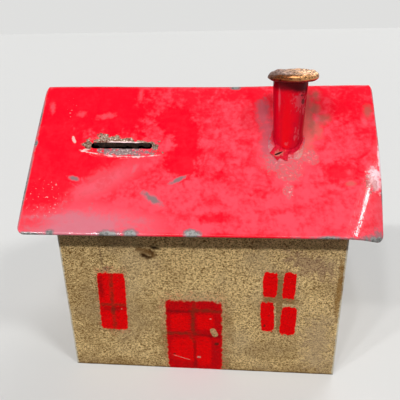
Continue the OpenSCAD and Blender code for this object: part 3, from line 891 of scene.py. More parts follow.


# The red turns pinker down the slope and in the pale fields, partly real fading and partly painted
# reflection on the gloss; it is deeper on the left, and in patches
fade_and_sheen = enamel.step(abs(down_slope) + cloud * 60.0, -10.0, 110.0)
pale_field_sheen = near(PALE_FIELDS, mottle * 0.8, 1.5, 0.2)
tone = 0.16 + fade_and_sheen * 0.58 + pale_field_sheen * 0.25 + mottle * 1.7 + brushed * 0.9 + fleck * 1.1
tone = enamel.step(tone, 0.0, 1.0)
enamel.coat = enamel.blend(tone, ENAMEL_MID, ENAMEL_FADED_SHEEN)
block = enamel.pane(roof_plane, *DEEP_BLOCK, square=10.0)
deep = least((block, enamel.spots(roof_plane, DEEP_RED)))
deep = enamel.step(deep + mottle * 1.5 + fleck * 0.9, 1.42, 0.92)
enamel.lay(deep * 0.94, enamel.blend(tone * 0.09, ENAMEL_DEEP, ENAMEL_FADED_SHEEN))
enamel.lay(near(DUSKY_RED, mottle * 1.6 + fleck * 1.2, 1.4, 0.4) * 0.75, ENAMEL_DEEP)

# A grey bloom over the eave on the left, partly painted reflection on the gloss, stains beside the chimney
# that are partly painted shadow, old scars, and what the soldering left
streak = near(GREY_STREAK, mottle * 2.0 + brushed * 1.6 + fleck * 1.4, 1.5, 0.2)
enamel.lay(streak * 0.36, BLOOM_AND_SHEEN_TINT)
bloom_and_sheen = near(GREY_BLOOM_AND_SHEEN, mottle * 1.2 + fleck * 0.9 + brushed, 1.5, 0.3)
enamel.lay(bloom_and_sheen * 0.85, BLOOM_AND_SHEEN_TINT)
# Grime beside the chimney, partly painted shadow of the chimney on the roof
stain_raggedness = mottle * 2.6 + fleck * 1.3
enamel.lay(near(GREY_STAINS_AND_SHADOW, stain_raggedness, 1.6, 0.4) * 0.7, GRIME_AND_SHADE_TINT)
enamel.lay(near(BROWN_STAINS_AND_SHADOW, stain_raggedness, 1.6, 0.4) * 0.65, ENAMEL_BROWN)
enamel.lay(near(OLIVE_STAINS, stain_raggedness, 1.8, 0.2) * 0.7, ENAMEL_OLIVE)
rough = near(ROUGH_PATCHES, mottle * 1.4 + fleck * 1.8, 1.3, 0.6)
curds = enamel.noise(1.5, detail=3.0, shift=66.0, twist=0.3)
curd_paint = enamel.blend(enamel.step(curds, 0.46, 0.56), CURD_GREY, CURD_PINK)
curd_paint = enamel.blend(enamel.step(curds + fleck * 0.4, 0.58, 0.74) * 0.7, curd_paint, CURD_PALE)
enamel.lay(rough * 0.68, curd_paint)
enamel.lay(near(FAINT_SCARS, fleck * 2.4 + mottle, 1.5, 0.1) * 0.34, BLOOM_AND_SHEEN_TINT)
scar = enamel.spots(roof_plane, SCARS) + fleck * 1.6 + mottle * 0.9
enamel.lay(enamel.step(scar, 1.4, 0.8) * 0.85, SCAR_EDGE)
enamel.lay(enamel.step(scar, 0.9, 0.45) * 0.85, SCAR_GREY)
enamel.lay(near(PALE_SCARS, fleck * 1.4, 1.2, 0.6) * 0.7, LIP_PALE)
salt = enamel.step(enamel.noise(1.7, detail=2.0, shift=81.0), 0.64, 0.7) * near(SALT, 0.0, 1.3, 0.8)
enamel.lay(salt * 0.75, SPECK_PINK)

# The hem's bend and the ridge are rubbed thin, and the eave has chipped to the tin
side_rim = enamel.step(abs(enamel.x) + fleck * 1.2, HALF_L - 2.2, HALF_L - 1.2)
ridge_rim = enamel.step(abs(enamel.y) + fleck * 1.2, 1.6, 0.6) * 0.6
rims = most(side_rim, ridge_rim) * enamel.step(mottle + fleck, -0.3, 0.06)
enamel.lay(rims * 0.75, RIM_MAUVE)
grime = enamel.noise(1.7, detail=4.0, shift=51.0, twist=0.5)
chip = enamel.spots(roof_plane, EAVE_CHIPS + EDGE_CHIPS)
chip = chip + fleck * 1.2 + mottle * 0.6
enamel.lay(enamel.step(chip, 1.45, 1.0) * 0.85, CHIP_MAUVE)
bare = enamel.step(chip, 0.98, 0.7)
enamel.lay(bare, enamel.blend(enamel.step(grime, 0.4, 0.6), CHIP_DARK, CHIP_GREY))

# Coins have rubbed the slot's lips: ragged peaks above it, a mottled strip below
below = enamel.pane(roof_plane, *LOWER_STRIP, square=3.0)
above = enamel.pane(roof_plane, *UPPER_STRIP, square=3.0)
lips = least((above, enamel.spots(roof_plane, LIP_WEAR), below)) + fleck * 2.8 + mottle * 0.6
scraped = enamel.step(enamel.spot(roof_plane, *SCRAPE) + fleck * 3.6, 1.0, 0.5) * 0.6
rubbed = most(enamel.step(lips, 1.25, 0.8) * 0.92, scraped)
glints = enamel.noise(0.9, detail=3.0, shift=57.0)
strip = enamel.step(below, 1.3, 0.9)
flushed = enamel.step(abs(enamel.x + 46.5) + fleck * 14.0, 4.0, 9.0) * strip
flushed = flushed * enamel.step(fleck * 1.4 + glints, 0.4, 0.56)
lip_paint = enamel.blend(enamel.step(grime, 0.36, 0.56), LIP_BROWN, LIP_GREY)
# The pale specks that the glints noise sets on the rubbed metal are painted glints
for mask, tint in (
        (strip * 0.6, LIP_ASH), (enamel.step(glints, 0.6, 0.7) * 0.85, LIP_PALE),
        (enamel.step(glints, 0.47, 0.36) * (1 - strip * 0.75), LIP_DARK), (flushed * 0.85, LIP_FLUSH),
        (enamel.step(glints, 0.58, 0.66) * strip * 0.8, LIP_PALE)):
    lip_paint = enamel.blend(mask, lip_paint, tint)
enamel.lay(rubbed, lip_paint)

# Painted highlights along the lower lip's crease and the slot's upper edge
crease_run = (enamel.x - LIP_MIDDLE) * (1 / LIP_SPAN)
off_crease = abs(down_slope + crease_run * crease_run * LIP_CREASE_RISE - LIP_CREASE)
along_crease = enamel.step(enamel.x, -73.0, -69.0) * enamel.step(enamel.x, -22.0, -30.0)
lip_highlights = enamel.step(off_crease + fleck * 2.6 + mottle, 0.7, 0.15) * along_crease
off_edge = abs(down_slope + fleck * 1.2 - SLOT_V[0] + 0.6)
along_edge = enamel.step(enamel.x, -57.0, -52.0) * enamel.step(enamel.x, -34.0, -38.0)
lip_highlights = most(lip_highlights, enamel.step(off_edge, 0.9, 0.5) * along_edge)
enamel.lay(lip_highlights * 0.85, LIP_HIGHLIGHT)

# A painted highlight on the bent corner above its crease, and along its right edge
pale = enamel.spots(roof_plane, (CORNER_HIGHLIGHT_SPOT, EDGE_HIGHLIGHT_LINE))
pale = enamel.step(pale + fleck * 2.0 + brushed * 0.6, 1.2, 0.4) * (1 - scraped)
enamel.lay(pale * 0.8, CORNER_HIGHLIGHT)

# It is glossiest where it is bent: along the crease of the corner, the side edges and the eave.
# The gloss of the crease is broken by small pits towards the eave
past_bend = enamel.x * crease_out.x + down_slope * crease_out.y - CREASE_START.dot(crease_out)
bent = enamel.step(abs(past_bend), 9.0, 7.0) * enamel.step(enamel.y, 0.0, -20.0)
pitted = most(enamel.step(glints + fleck * 0.3, 0.42, 0.54), enamel.step(down_slope, 84.0, 72.0))
side_edge = enamel.step(abs(enamel.x), HALF_L - 2.4, HALF_L - 1.6)
shiny_eave = enamel.step(down_slope, FLAT_V - 1.4, FLAT_V - 0.4) * enamel.step(enamel.x, -24.0, -44.0)
glossy = most(bent * pitted, side_edge, shiny_eave)
bared = most(bare, rubbed)
peel = enamel.noise(1.5, detail=2.0, shift=90.0)
relief = 0.5 + mottle * 0.3 + peel * 0.25 + fleck * 0.12 + rough * (curds - 0.5) * 2.0
relief = relief + bent * (glints - 0.5) * 1.2
enamel.paint(Base_Color=enamel.coat, Metallic=bared * 0.25, Normal=enamel.bump(relief, ENAMEL_RELIEF))
enamel.paint(Roughness=0.14 + bared * 0.3 + bloom_and_sheen * 0.16 + rough * 0.2 + streak * 0.05, IOR=ENAMEL_IOR)
enamel.paint(Coat_Weight=glossy * (1 - bared) * 0.8, Coat_IOR=LACQUER_IOR, Coat_Roughness=LACQUER_ROUGHNESS)

slot_rust = Finish("slot_rust")
rust_noise = slot_rust.noise(1.2, detail=4.0, shift=8.0)
slot_rust.paint(Base_Color=slot_rust.blend(slot_rust.step(rust_noise, 0.4, 0.64), RUST_DARK, RUST_LIGHT))
slot_rust.paint(Roughness=0.8, IOR=1.3, Normal=slot_rust.bump(rust_noise, 0.2))

TIN_GREY = colour(146, 148, 142)
TIN_DARK = colour(104, 104, 98)
TIN_RUST = colour(118, 72, 40)


def tin_finish(name, rust):
    """Dull tinned iron with a spangle, and rust where it has been handled. rust is from 0 to 1."""
    finish = Finish(name)
    spangle = finish.noise(6.0, detail=3.0, twist=1.2)
    grime = finish.step(finish.noise(11.0, detail=5.0, shift=19.0), 0.4, 0.7)
    rusty = finish.step(finish.noise(8.0, detail=6.0, shift=61.0), 0.72 - 0.3 * rust, 0.8)
    tin = finish.blend(finish.step(spangle, 0.35, 0.65), TIN_DARK, TIN_GREY)
    tin = finish.blend(grime * 0.4, tin, TIN_DARK)
    finish.paint(Base_Color=finish.blend(rusty, tin, TIN_RUST), Metallic=0.85 - rusty * 0.75)
    finish.paint(Roughness=0.38 + grime * 0.2 + rusty * 0.3)
    finish.paint(Normal=finish.bump(spangle * 0.4 + rusty * 0.6, 0.08))
    return finish


roof_tin = tin_finish("roof_tin", 0.5)
roof = make_piece(
    "roof_sheet", roof_points, roof_faces, [enamel, roof_tin, slot_rust], "house", ["roof"])
for face in roof.data.polygons[first_turned:]:
    face.material_index = 2
thicken(roof, SHEET, inside=1, even=False)
soften(roof, ROOF_EDGE_ROUND)


# ---- Chimney tube ----
# A rolled tin tube, a little wider at its top, with a lapped seam at the back. Its foot is cut to the
# slope and snipped into tabs, which are bent out over the roof. Dark red enamel, scuffed near the top.
TUBE_FOOT_R = 8.4
TUBE_TOP_R = 9.7
TUBE_SHEET = 0.45
TUBE_SIDES = 120
TUBE_ROWS = 26
TUBE_HEM = 1.8
FLARE_LIFT = 0.4
SEAM_ANGLE = 90.0
SEAM_HALF = 10.0
SEAM_BLEND = 3.0
SEAM_STEP = 0.5
TUBE_INSET = 0.12
TUBE_LUMP = 0.14
TUBE_EDGE_ROUND = 0.08
# Shallow dents, as (angle, half width in degrees, distance below the top, half height, depth): one under
# the cap on the right, and a longer one down the left
TUBE_DENTS = ((316.0, 15.0, 10.0, 4.5, 0.6), (236.0, 12.0, 16.0, 9.0, 0.25))
# Each tab as (first angle, last angle, length, curl); the gaps between them are the snips
TABS = (
    (3.0, 42.0, 0.5, 0.0), (45.0, 84.0, 0.8, 0.0), (90.0, 129.0, 0.8, 0.0), (132.0, 171.0, 0.5, 0.0),
    (174.0, 216.0, 0.5, 0.0), (219.0, 243.0, 5.4, 1.2), (246.0, 267.0, 3.8, 0.8), (270.0, 318.0, 1.0, 0.3),
    (321.0, 360.0, 0.5, 0.0))

TUBE_TOP = (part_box("chimney_tube")[1] / MM).z
solder_low, solder_high = (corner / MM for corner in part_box("chimney_solder"))
CHIMNEY = (solder_low + solder_high) / 2
TUBE_FOOT = RIDGE_Z + CHIMNEY.y * math.tan(PITCH)


def roof_top(x, y):
    """Height of the front slope's face over a place in plan."""
    v = -y / math.cos(PITCH)
    return RIDGE_Z - v * math.sin(PITCH) - dent_depth(x, v) / math.cos(PITCH)


def tube_point(angle, z, out=0.0):
    """A point of the tube's outer face at an angle in degrees and a height."""
    t = (z - TUBE_FOOT) / (TUBE_TOP - TUBE_FOOT)
    a = math.radians(angle)
    radius = TUBE_FOOT_R + (TUBE_TOP_R - TUBE_FOOT_R) * t + out - TUBE_INSET
    around = abs((angle - SEAM_ANGLE + 180) % 360 - 180)
    radius += SEAM_STEP * ease((SEAM_HALF - around) / SEAM_BLEND)
    radius += TUBE_LUMP * wave(9.0, 20 * math.cos(a), 20 * math.sin(a), z)
    for dent_angle, half_width, down, half_height, depth in TUBE_DENTS:
        radius -= depth * hill(angle, dent_angle, half_width) * hill(z, TUBE_TOP - down, half_height)
    return Vector((CHIMNEY.x + radius * math.cos(a), CHIMNEY.y + radius * math.sin(a), z))


def tab_at(angle):
    """The length and curl of the tab at an angle, both 0 in a snip."""
    for first, last, length, curl in TABS:
        if first <= angle <= last:
            return length, curl
    return 0.0, 0.0


tube_points = []
angles = [360 * i / TUBE_SIDES for i in range(TUBE_SIDES)]
for row in range(TUBE_ROWS + 1):
    for angle in angles:
        foot = tube_point(angle, TUBE_FOOT)
        start = roof_top(foot.x, foot.y) + TUBE_HEM
        tube_points.append(tube_point(angle, TUBE_TOP + (start - TUBE_TOP) * row / TUBE_ROWS))
tube_faces = grid_faces(TUBE_ROWS + 1, TUBE_SIDES, flip=True, wrap=True)

last = TUBE_ROWS * TUBE_SIDES
for share in (0.12, 0.25, 0.42, 0.6, 0.8, 1.0):
    first = len(tube_points)
    for angle in angles:
        length, curl = tab_at(angle)
        length *= 1 + 0.18 * wave(1.2, angle / 9, 4.0, 0.0)
        at = tube_point(angle, TUBE_FOOT, length * share ** 1.5)
        lift = FLARE_LIFT + (TUBE_HEM - FLARE_LIFT) * (1 - share) ** 1.8
        lift += curl * math.sin(math.pi * share) / 2 + 0.2 * wave(1.8, angle / 8, share * 3, 1.0) * share
        tube_points.append(Vector((at.x, at.y, roof_top(at.x, at.y) + lift)))
    for i, angle in enumerate(angles):
        j = (i + 1) % TUBE_SIDES
        if tab_at(angle)[0] and tab_at(angles[j])[0]:
            tube_faces.append([last + j, last + i, first + i, first + j])
    last = first

CHIMNEY_RED = colour(244, 0, 32)
CHIMNEY_DARK = colour(216, 0, 40)
CHIMNEY_LIT = colour(255, 0, 14)
CHIMNEY_DEEP = colour(178, 0, 36)
CHIMNEY_SHADE = colour(96, 2, 22)
FOOT_PINK = colour(212, 14, 50)
CHIMNEY_SCUFF = colour(232, 96, 108)
CHIMNEY_HIGHLIGHT = colour(238, 92, 108)
CHIMNEY_CHIP = colour(84, 34, 32)
TORN_EDGE = colour(206, 128, 112)
SLIT_SHADE = colour(52, 14, 14)
# Scuffs near the top on the right, and smaller ones down the front, as (centre, half size, turn)
STACK_SCUFFS = (
    ((-9.6, 165.4), (5.0, 5.4), 24.0), ((-5.4, 161.0), (2.0, 3.4), 0.0), ((-8.6, 147.5), (1.3, 4.2), 0.0),
    ((-11.6, 146.0), (0.7, 4.6), 0.0), ((-16.8, 141.6), (1.6, 1.0), 0.0))
# A painted highlight line on the left, and a painted lit band down the front, as (centre, half size, turn)
HIGHLIGHT_LINE = ((-22.6, 166.8), (1.1, 7.0), 0.0)
LIT_FRONT_BAND = ((-17.6, 150.0), (4.0, 30.0), 0.0)
# The torn fold of the front left tab, as (centre, half size, turn) in x and z
TORN_LIPS = ((43.6, 136.6), (4.6, 1.4), 18.0)
TORN_SLIT = ((43.8, 136.7), (3.2, 0.5), 20.0)
STACK_RELIEF = 0.2
STACK_CHIPS = (
    ((-6.9, 165.0), (1.4, 1.7), 0.0), ((-3.2, 170.4), (0.8, 1.2), 0.0), ((-8.6, 168.6), (1.0, 0.7), 0.0),
    ((-4.4, 160.8), (0.9, 0.7), 0.0))

stack = Finish("chimney_enamel")
from_middle = {0: stack.y - CHIMNEY.y, 1: stack.x - CHIMNEY.x}
stack_side = stack.add("ShaderNodeMath", {"operation": "ARCTAN2"}, from_middle)
around_tube = stack_side * TUBE_TOP_R
stack_plane = stack.flat(around_tube, stack.z)
streaks = stack.noise(2.4, detail=4.0, shift=13.0, stretch=(1.0, 1.0, 0.1)) - 0.5
blotch = stack.noise(3.0, detail=5.0, shift=29.0) - 0.5
scratchy = stack.noise(1.1, detail=4.0, shift=47.0, stretch=(1.0, 1.0, 0.6)) - 0.5
stack.coat = stack.blend(stack.step(streaks + blotch * 1.2, -0.34, 0.34), CHIMNEY_DARK, CHIMNEY_RED)
# Painted highlight down the tube's lit front, and painted shade on its sides, which turn away from the light
lit_front_band = stack.step(stack.spot(stack_plane, *LIT_FRONT_BAND) + blotch * 1.2, 1.3, 0.1)
stack.lay(lit_front_band * 0.7, CHIMNEY_LIT)
side_shade = stack.step(abs(around_tube - LIT_FRONT_BAND[0][0]) + blotch * 4.0, 5.0, 10.5)
stack.lay(side_shade * 0.75, CHIMNEY_DEEP)
scuffed = stack.spots(stack_plane, STACK_SCUFFS)
scuffed = stack.step(scuffed + blotch * 2.6 + scratchy * 3.4, 1.1, 0.3)
stack.lay(scuffed * 0.5, CHIMNEY_SCUFF)
# Painted shade under the cap, where its shadow falls on the tube, and a painted highlight line down the left
# of the tube
shaded = stack.step(stack.z + blotch * 3.0 + stack_side * 0.8, TUBE_TOP - 7.2, TUBE_TOP - 4.6)
stack.lay(shaded * 0.82, CHIMNEY_SHADE)
# A painted highlight: a thin pale line down the tube's left
highlight_line = stack.step(stack.spot(stack_plane, *HIGHLIGHT_LINE) + blotch * 1.2, 1.1, 0.2)
stack.lay(highlight_line * 0.7, CHIMNEY_HIGHLIGHT)
stack_bare = stack.step(stack.spots(stack_plane, STACK_CHIPS) + blotch * 2.4, 1.0, 0.7)
stack.lay(stack_bare * 0.8, CHIMNEY_CHIP)
# The bent foot is dull and lumpy where solder and enamel have run over it. Its red is mottled and darker,
# partly painted shade on the upturned face that the light from above falls on
above_slope = stack.z - stack.y * math.tan(PITCH) - RIDGE_Z
footed = stack.step(above_slope + blotch * 3.0, 3.0, 1.4)
foot_paint = stack.blend(stack.step(scratchy, -0.12, 0.1), CHIMNEY_DEEP, FOOT_PINK)
stack.lay(footed * 0.75, foot_paint)
# The front left tab is torn along its fold: a slit between pale lips, painted dark as the shade inside it
front_half = stack.step(stack.y, CHIMNEY.y - 2.0, CHIMNEY.y - 4.0)
facade = stack.flat(stack.x, stack.z)
torn_lips = stack.step(stack.spot(facade, *TORN_LIPS) + blotch * 3.4, 1.1, 0.4) * front_half
slit = stack.step(stack.spot(facade, *TORN_SLIT) + blotch * 1.2, 1.0, 0.7) * front_half
stack.lay(torn_lips * 0.65, TORN_EDGE)
stack.lay(slit, SLIT_SHADE)
stack.paint(Base_Color=stack.coat, Roughness=0.13 + scuffed * 0.3 + torn_lips * 0.3 + footed * 0.3)
relief = 0.5 + streaks * 0.4 + blotch * 0.6 - scuffed * 0.5 + footed * scratchy * 2.0 - slit * 0.5
stack.paint(Normal=stack.bump(relief, STACK_RELIEF), IOR=ENAMEL_IOR)

tube = make_piece(
    "chimney_tube_sheet", tube_points, tube_faces, [stack, roof_tin], "house",
    ["chimney_tube"])
thicken(tube, TUBE_SHEET, inside=1, even=False)
soften(tube, TUBE_EDGE_ROUND)


# ---- Chimney solder ----
# Soft solder that ran out round and between the tabs when the chimney was fixed to the roof. It was
# painted over thinly, so the grey shows through, and it fades out over the enamel.
SOLDER_RINGS = 14
SOLDER_START = 0.6
SOLDER_FRONT = 4.6
SOLDER_SIDE = 0.6
SOLDER_FILLET = 1.6
SOLDER_LUMP = 0.5
SOLDER_FILM = 0.1
SOLDER_DIP = 0.3
SOLDER_RAGGED = 0.35
SOLDER_SINK = 0.2
SOLDER_RELIEF = 0.5

foot_v = -CHIMNEY.y / math.cos(PITCH)
solder_points = []
for ring in range(SOLDER_RINGS + 1):
    t = ring / SOLDER_RINGS
    for angle in angles:
        a = math.radians(angle)
        facing = ease(0.4 - math.sin(a))
        width = SOLDER_SIDE + (SOLDER_FRONT - SOLDER_SIDE) * facing
        width *= 1 + SOLDER_RAGGED * wave(5.0, 9 * math.cos(a), 9 * math.sin(a), 2.0)
        run = TUBE_FOOT_R - SOLDER_START + t * width
        x = CHIMNEY.x + run * math.cos(a)
        v = foot_v - run * math.sin(a) / math.cos(PITCH)
        lumps = 0.5 + 0.6 * wave(2.4, x, v, 6.0) + 0.15 * wave(1.0, x, v, 3.0)
        height = SOLDER_LUMP * (1 - t) ** 0.6 * (0.3 + lumps) + SOLDER_FILM * (1 - t) - SOLDER_DIP * t
        out = run - TUBE_FOOT_R
        length = tab_at(angle)[0]
        if out < length:
            height = min(height, 0.0)
        elif length == 0:
            height += SOLDER_FILLET * max(1 - max(out, 0.0) / SOLDER_FILLET, 0.0) ** 2
        solder_points.append(on_roof(x, v, -height))
solder_faces = grid_faces(SOLDER_RINGS + 1, TUBE_SIDES, wrap=True)

SOLDER_RED = colour(214, 8, 40)

run_out = Finish("chimney_solder")
curdled = run_out.noise(1.5, detail=3.0, shift=66.0, twist=0.3)
bright = run_out.step(run_out.noise(1.5, detail=3.0, shift=3.0), 0.6, 0.7)
from_tube = run_out.spot(run_out.flat(run_out.x, run_out.y), CHIMNEY.xy, (TUBE_FOOT_R, TUBE_FOOT_R))
overpaint = run_out.step(curdled, 0.46, 0.56)
run_out.coat = run_out.blend(overpaint, CURD_GREY, CURD_PINK)
khaki = run_out.step(run_out.x + (curdled - 0.5) * 6.0, CHIMNEY.x + 3.0, CHIMNEY.x + 7.0)
run_out.lay(khaki * 0.45, CURD_KHAKI)
run_out.lay(bright * 0.7, CURD_PALE)
behind = 1 - run_out.step(run_out.y + (curdled - 0.5) * 6.0, CHIMNEY.y - 2.0, CHIMNEY.y - 8.0)
run_out.lay(behind, GRIME_AND_SHADE_TINT)
reddened = run_out.step(from_tube + (curdled - 0.5) * 0.9, 1.32, 1.02)
run_out.lay(reddened * 0.9, SOLDER_RED)
run_out.paint(Base_Color=run_out.coat, Roughness=0.36 - overpaint * 0.1, IOR=1.3)
run_out.paint(Normal=run_out.bump(curdled, SOLDER_RELIEF))

solder = make_piece(
    "chimney_solder_run", solder_points, solder_faces, [run_out], "house", ["chimney_solder"])
thicken(solder, SOLDER_SINK)


# ---- Chimney cap ----
# A thick hammered brass disc with a rounded rim, seated in the tube's mouth by a short spigot. It is
# tarnished copper brown on the left and yellower on the right, and red enamel has run up under its rim.
CAP_R = 14.3
CAP_SIDES = 120
SPIGOT_R = 8.9
SPIGOT_H = 4.0
SPIGOT_WALL = 0.6
CAP_FLAT = 10.8
CAP_MARGIN = 0.4
CAP_RELIEF = 0.5
# The hammered top: large and small lumps, a hump on the right, and a fall towards the left
CAP_LUMP = 0.5
CAP_DINT = 0.3
CAP_HUMP = 0.8
CAP_FALL = 0.9
# How far the rim's outline comes in at most, and how high its underside is dented
CAP_UNEVEN = 0.035
CAP_UNDER_DENT = 0.5
CAP_UNDER = 1.2

cap_low, cap_high = (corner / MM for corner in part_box("chimney_cap"))
CAP = (cap_low + cap_high) / 2
CAP_T = cap_high.z - TUBE_TOP

# The disc's outline as (radius, height), from the middle of its top round the rim to the spigot's inside
rim_r = CAP_T / 2
cap_profile = [(r, CAP_T - CAP_MARGIN) for r in (0.001, 1.5, 3.0, 4.5, 6.0, 7.2, 8.4, 9.6, CAP_FLAT)]
for degrees in range(15, 181, 11):
    a = math.radians(degrees)
    cap_profile.append((CAP_R - rim_r + rim_r * math.sin(a), rim_r * (1 + math.cos(a))))
inner_r = SPIGOT_R - SPIGOT_WALL
cap_profile += [
    (10.6, 0.0), (SPIGOT_R + 0.6, 0.0), (SPIGOT_R, -0.2), (SPIGOT_R, -SPIGOT_H), (inner_r, -SPIGOT_H),
    (inner_r, 0.6), (0.001, 0.6)]
cap_points = []
for radius, z in cap_profile:
    for i in range(CAP_SIDES):
        a = 2 * math.pi * i / CAP_SIDES
        x, y = radius * math.cos(a), radius * math.sin(a)
        outer = ease((radius - 9.8) / 2.5)
        shrink = 1 - outer * (0.012 + CAP_UNEVEN * (0.5 + 0.5 * wave(7.0, x, y, 3.0)))
        above = ease((z - CAP_UNDER) / 2.0)
        lump = CAP_LUMP * wave(5.0, x, y, 1.0) + CAP_DINT * wave(2.2, x, y, 9.0) - 0.35
        hump = CAP_HUMP * hill(x, 6.5, 3.6) * hill(y, 1.0, 6.0)
        fall = CAP_FALL * ease((-x - 8.0) / 6)
        height = min(z + above * (lump + hump - fall), CAP_T - 0.02)
        if 0 <= z < CAP_UNDER:
            height = max(z + CAP_UNDER_DENT * outer * (0.5 + 0.5 * wave(4.0, x, y, 12.0)), 0.0)
        middle = CHIMNEY.x + (CAP.x - CHIMNEY.x) * ease((radius - SPIGOT_R - 0.1) / 1.0)
        cap_points.append((middle + shrink * x, CHIMNEY.y + shrink * y, TUBE_TOP + height))
cap_faces = grid_faces(len(cap_profile), CAP_SIDES, flip=True, wrap=True)
cap_faces.append(list(range(CAP_SIDES)))
cap_faces.append(list(range((len(cap_profile) - 1) * CAP_SIDES, len(cap_profile) * CAP_SIDES))[::-1])

BRASS_YELLOW = colour(206, 150, 98)
BRASS_BROWN = colour(112, 60, 32)
BRASS_DARK = colour(40, 28, 20)
RIM_ENAMEL = colour(104, 2, 18)

brass = Finish("cap_brass")
tarnish = brass.noise(4.0, detail=5.0, shift=71.0) - 0.5
pits = brass.step(brass.noise(1.3, detail=4.0, shift=15.0), 0.47, 0.62)
left = brass.step(brass.x + tarnish * 20.0, CAP.x + 8.0, CAP.x - 8.0)
brass.coat = brass.blend(left, BRASS_YELLOW, BRASS_BROWN)
brass.lay(pits * 0.75, BRASS_DARK)
drips = brass.step(brass.z + tarnish * 2.6, TUBE_TOP + 1.5, TUBE_TOP + 0.9)
brass.lay(drips, RIM_ENAMEL)
brass.paint(Base_Color=brass.coat, Metallic=1 - drips, Roughness=0.26 + pits * 0.3 + left * 0.06)
brass.paint(Normal=brass.bump(tarnish * 0.7 + 0.5 - pits * 0.35, CAP_RELIEF))

make_piece("chimney_cap_disc", cap_points, cap_faces, [brass], "house", ["chimney_cap"])


# ---- Base, coin door, rivets and inner solder ----
# What the coins rest on and come out through: a recessed tin plate, a cover that turns on a rivet,
# and the rivet that keeps it shut. The seams inside are run with soft solder.
SOLDER_DULL = colour(150, 150, 148)
SOLDER_BRIGHT = colour(186, 186, 184)
RIVET_GREY = colour(158, 156, 150)
RIVET_DARK = colour(96, 90, 84)
PLATE_ROUND = 0.12
RIVET_ROUND = 0.15

seam = Finish("seam_solder")
seam_lumps = seam.noise(1.6, detail=3.0, shift=21.0)
seam.paint(Base_Color=seam.blend(seam.step(seam_lumps, 0.4, 0.6), SOLDER_DULL, SOLDER_BRIGHT), Metallic=0.7)
seam.paint(Roughness=0.3 + seam_lumps * 0.3, Normal=seam.bump(seam_lumps, 0.2))

hammered = Finish("rivet_iron")
blows = hammered.noise(1.2, detail=2.0, shift=33.0)
hammered.paint(Base_Color=hammered.blend(hammered.step(blows, 0.35, 0.6), RIVET_DARK, RIVET_GREY))
hammered.paint(Metallic=0.9, Roughness=0.3 + blows * 0.25, Normal=hammered.bump(blows, 0.15))

plate_tin = tin_finish("base_tin", 0.8)
door_tin = tin_finish("door_tin", 0.3)

for node, finish, rounding in (
        ("base_plate", plate_tin, PLATE_ROUND), ("coin_door", door_tin, PLATE_ROUND),
        ("pivot_rivet", hammered, RIVET_ROUND), ("keeper_rivet", hammered, RIVET_ROUND),
        ("pivot_washer", hammered, RIVET_ROUND), ("keeper_washer", hammered, RIVET_ROUND),
        ("corner_solder", seam, 0.0), ("base_solder", seam, 0.0), ("roof_solder", seam, 0.0)):
    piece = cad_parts[node]
    piece.data.materials.clear()
    piece.data.materials.append(finish.material)
    if rounding:
        soften(piece, rounding)


# ---- Floor and light ----
# A pale floor and a pale surround. The key light is a level row of far lamps, high in front: it leaves a
# crisp shadow under the eave and a soft one behind the chimney. A weaker round lamp high on the right
# brings out the bent corner, and there are two soft glows, low on the left and high behind.
FLOOR_HALF = 4.0
FLOOR_PAPER = (0.7, 0.7, 0.69, 1.0)
FLOOR_BOUNCE = (0.18, 0.175, 0.17, 1.0)
SURROUND = (0.74, 0.74, 0.73, 1.0)
SKY_WHITE = (1.0, 1.0, 1.0, 1.0)
SKY_FILL = 0.11
# The floor and the surround show at full brightness in these rays, and throw less light on the box
SEEN_RAYS = ("Is Camera Ray", "Is Glossy Ray", "Is Transmission Ray")
# The key light's row, from left to right, and how far it is to the front and up; each of its lamps'
# level and spread in degrees; and the other lamps' directions, levels and spreads
KEY_ROW = (-0.76, -0.5, -0.3, -0.12, 0.04, 0.18)
KEY_HEIGHT = (-0.645, 0.764)
KEY_LAMP = (0.14, 4.0)
OTHER_LAMPS = (
    ("corner_light", (0.52, -0.37, 0.77), 0.24, 10.0), ("left_glow", (-0.85, -0.5, 0.18), 0.05, 30.0),
    ("back_glow", (0.35, 0.75, 0.56), 0.34, 40.0))

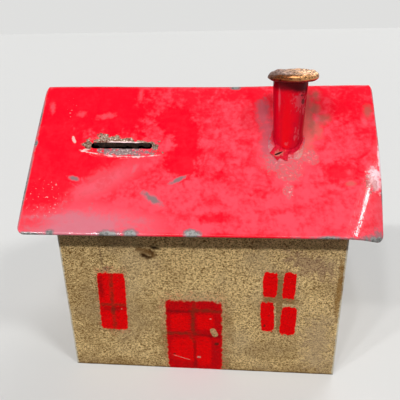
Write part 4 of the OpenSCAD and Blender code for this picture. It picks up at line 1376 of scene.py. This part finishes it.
floor_mesh = bpy.data.meshes.new("floor")
floor_corners = [(x * FLOOR_HALF, y * FLOOR_HALF, 0.0) for x, y in ((-1, -1), (1, -1), (1, 1), (-1, 1))]
floor_mesh.from_pydata(floor_corners, [], [(0, 1, 2, 3)])
floor = bpy.data.objects.new("floor", floor_mesh)
floor_finish = Finish("floor_paper")
seen_part = most(*(floor_finish.add("ShaderNodeLightPath", out=kind) for kind in SEEN_RAYS))
floor_finish.paint(Base_Color=floor_finish.blend(seen_part, FLOOR_BOUNCE, FLOOR_PAPER))
floor_finish.paint(Roughness=0.9, IOR=1.2)
floor_mesh.materials.append(floor_finish.material)
bpy.context.scene.collection.objects.link(floor)

world = bpy.data.worlds.new("surround")
world.use_nodes = True
bpy.context.scene.world = world
sky = world.node_tree
seen = sky.nodes["Background"]
lit = sky.nodes.new("ShaderNodeBackground")
for shade, tint, strength in ((seen, SURROUND, 1.0), (lit, SKY_WHITE, SKY_FILL)):
    shade.inputs["Color"].default_value = tint
    shade.inputs["Strength"].default_value = strength
ray = sky.nodes.new("ShaderNodeLightPath")
share = ray.outputs[SEEN_RAYS[0]]
for kind in SEEN_RAYS[1:]:
    higher = sky.nodes.new("ShaderNodeMath")
    higher.operation = "MAXIMUM"
    sky.links.new(share, higher.inputs[0])
    sky.links.new(ray.outputs[kind], higher.inputs[1])
    share = higher.outputs[0]
choose = sky.nodes.new("ShaderNodeMixShader")
for i, link in enumerate((share, lit.outputs[0], seen.outputs[0])):
    sky.links.new(link, choose.inputs[i])
sky.links.new(choose.outputs[0], sky.nodes["World Output"].inputs["Surface"])


def add_sun(name, direction, level, spread_angle):
    """Even light from a direction. A level of 1 lights a surface that faces it to its own colour."""
    lamp = bpy.data.lights.new(name, "SUN")
    lamp.energy = level * math.pi
    lamp.angle = math.radians(spread_angle)
    holder = bpy.data.objects.new(name, lamp)
    holder.rotation_euler = Vector(direction).to_track_quat("Z", "Y").to_euler()
    bpy.context.scene.collection.objects.link(holder)


for i, across_sky in enumerate(KEY_ROW):
    add_sun(f"key_light_{i}", (across_sky, *KEY_HEIGHT), *KEY_LAMP)
for lamp in OTHER_LAMPS:
    add_sun(*lamp)

bpy.context.scene.view_settings.view_transform = "Standard"
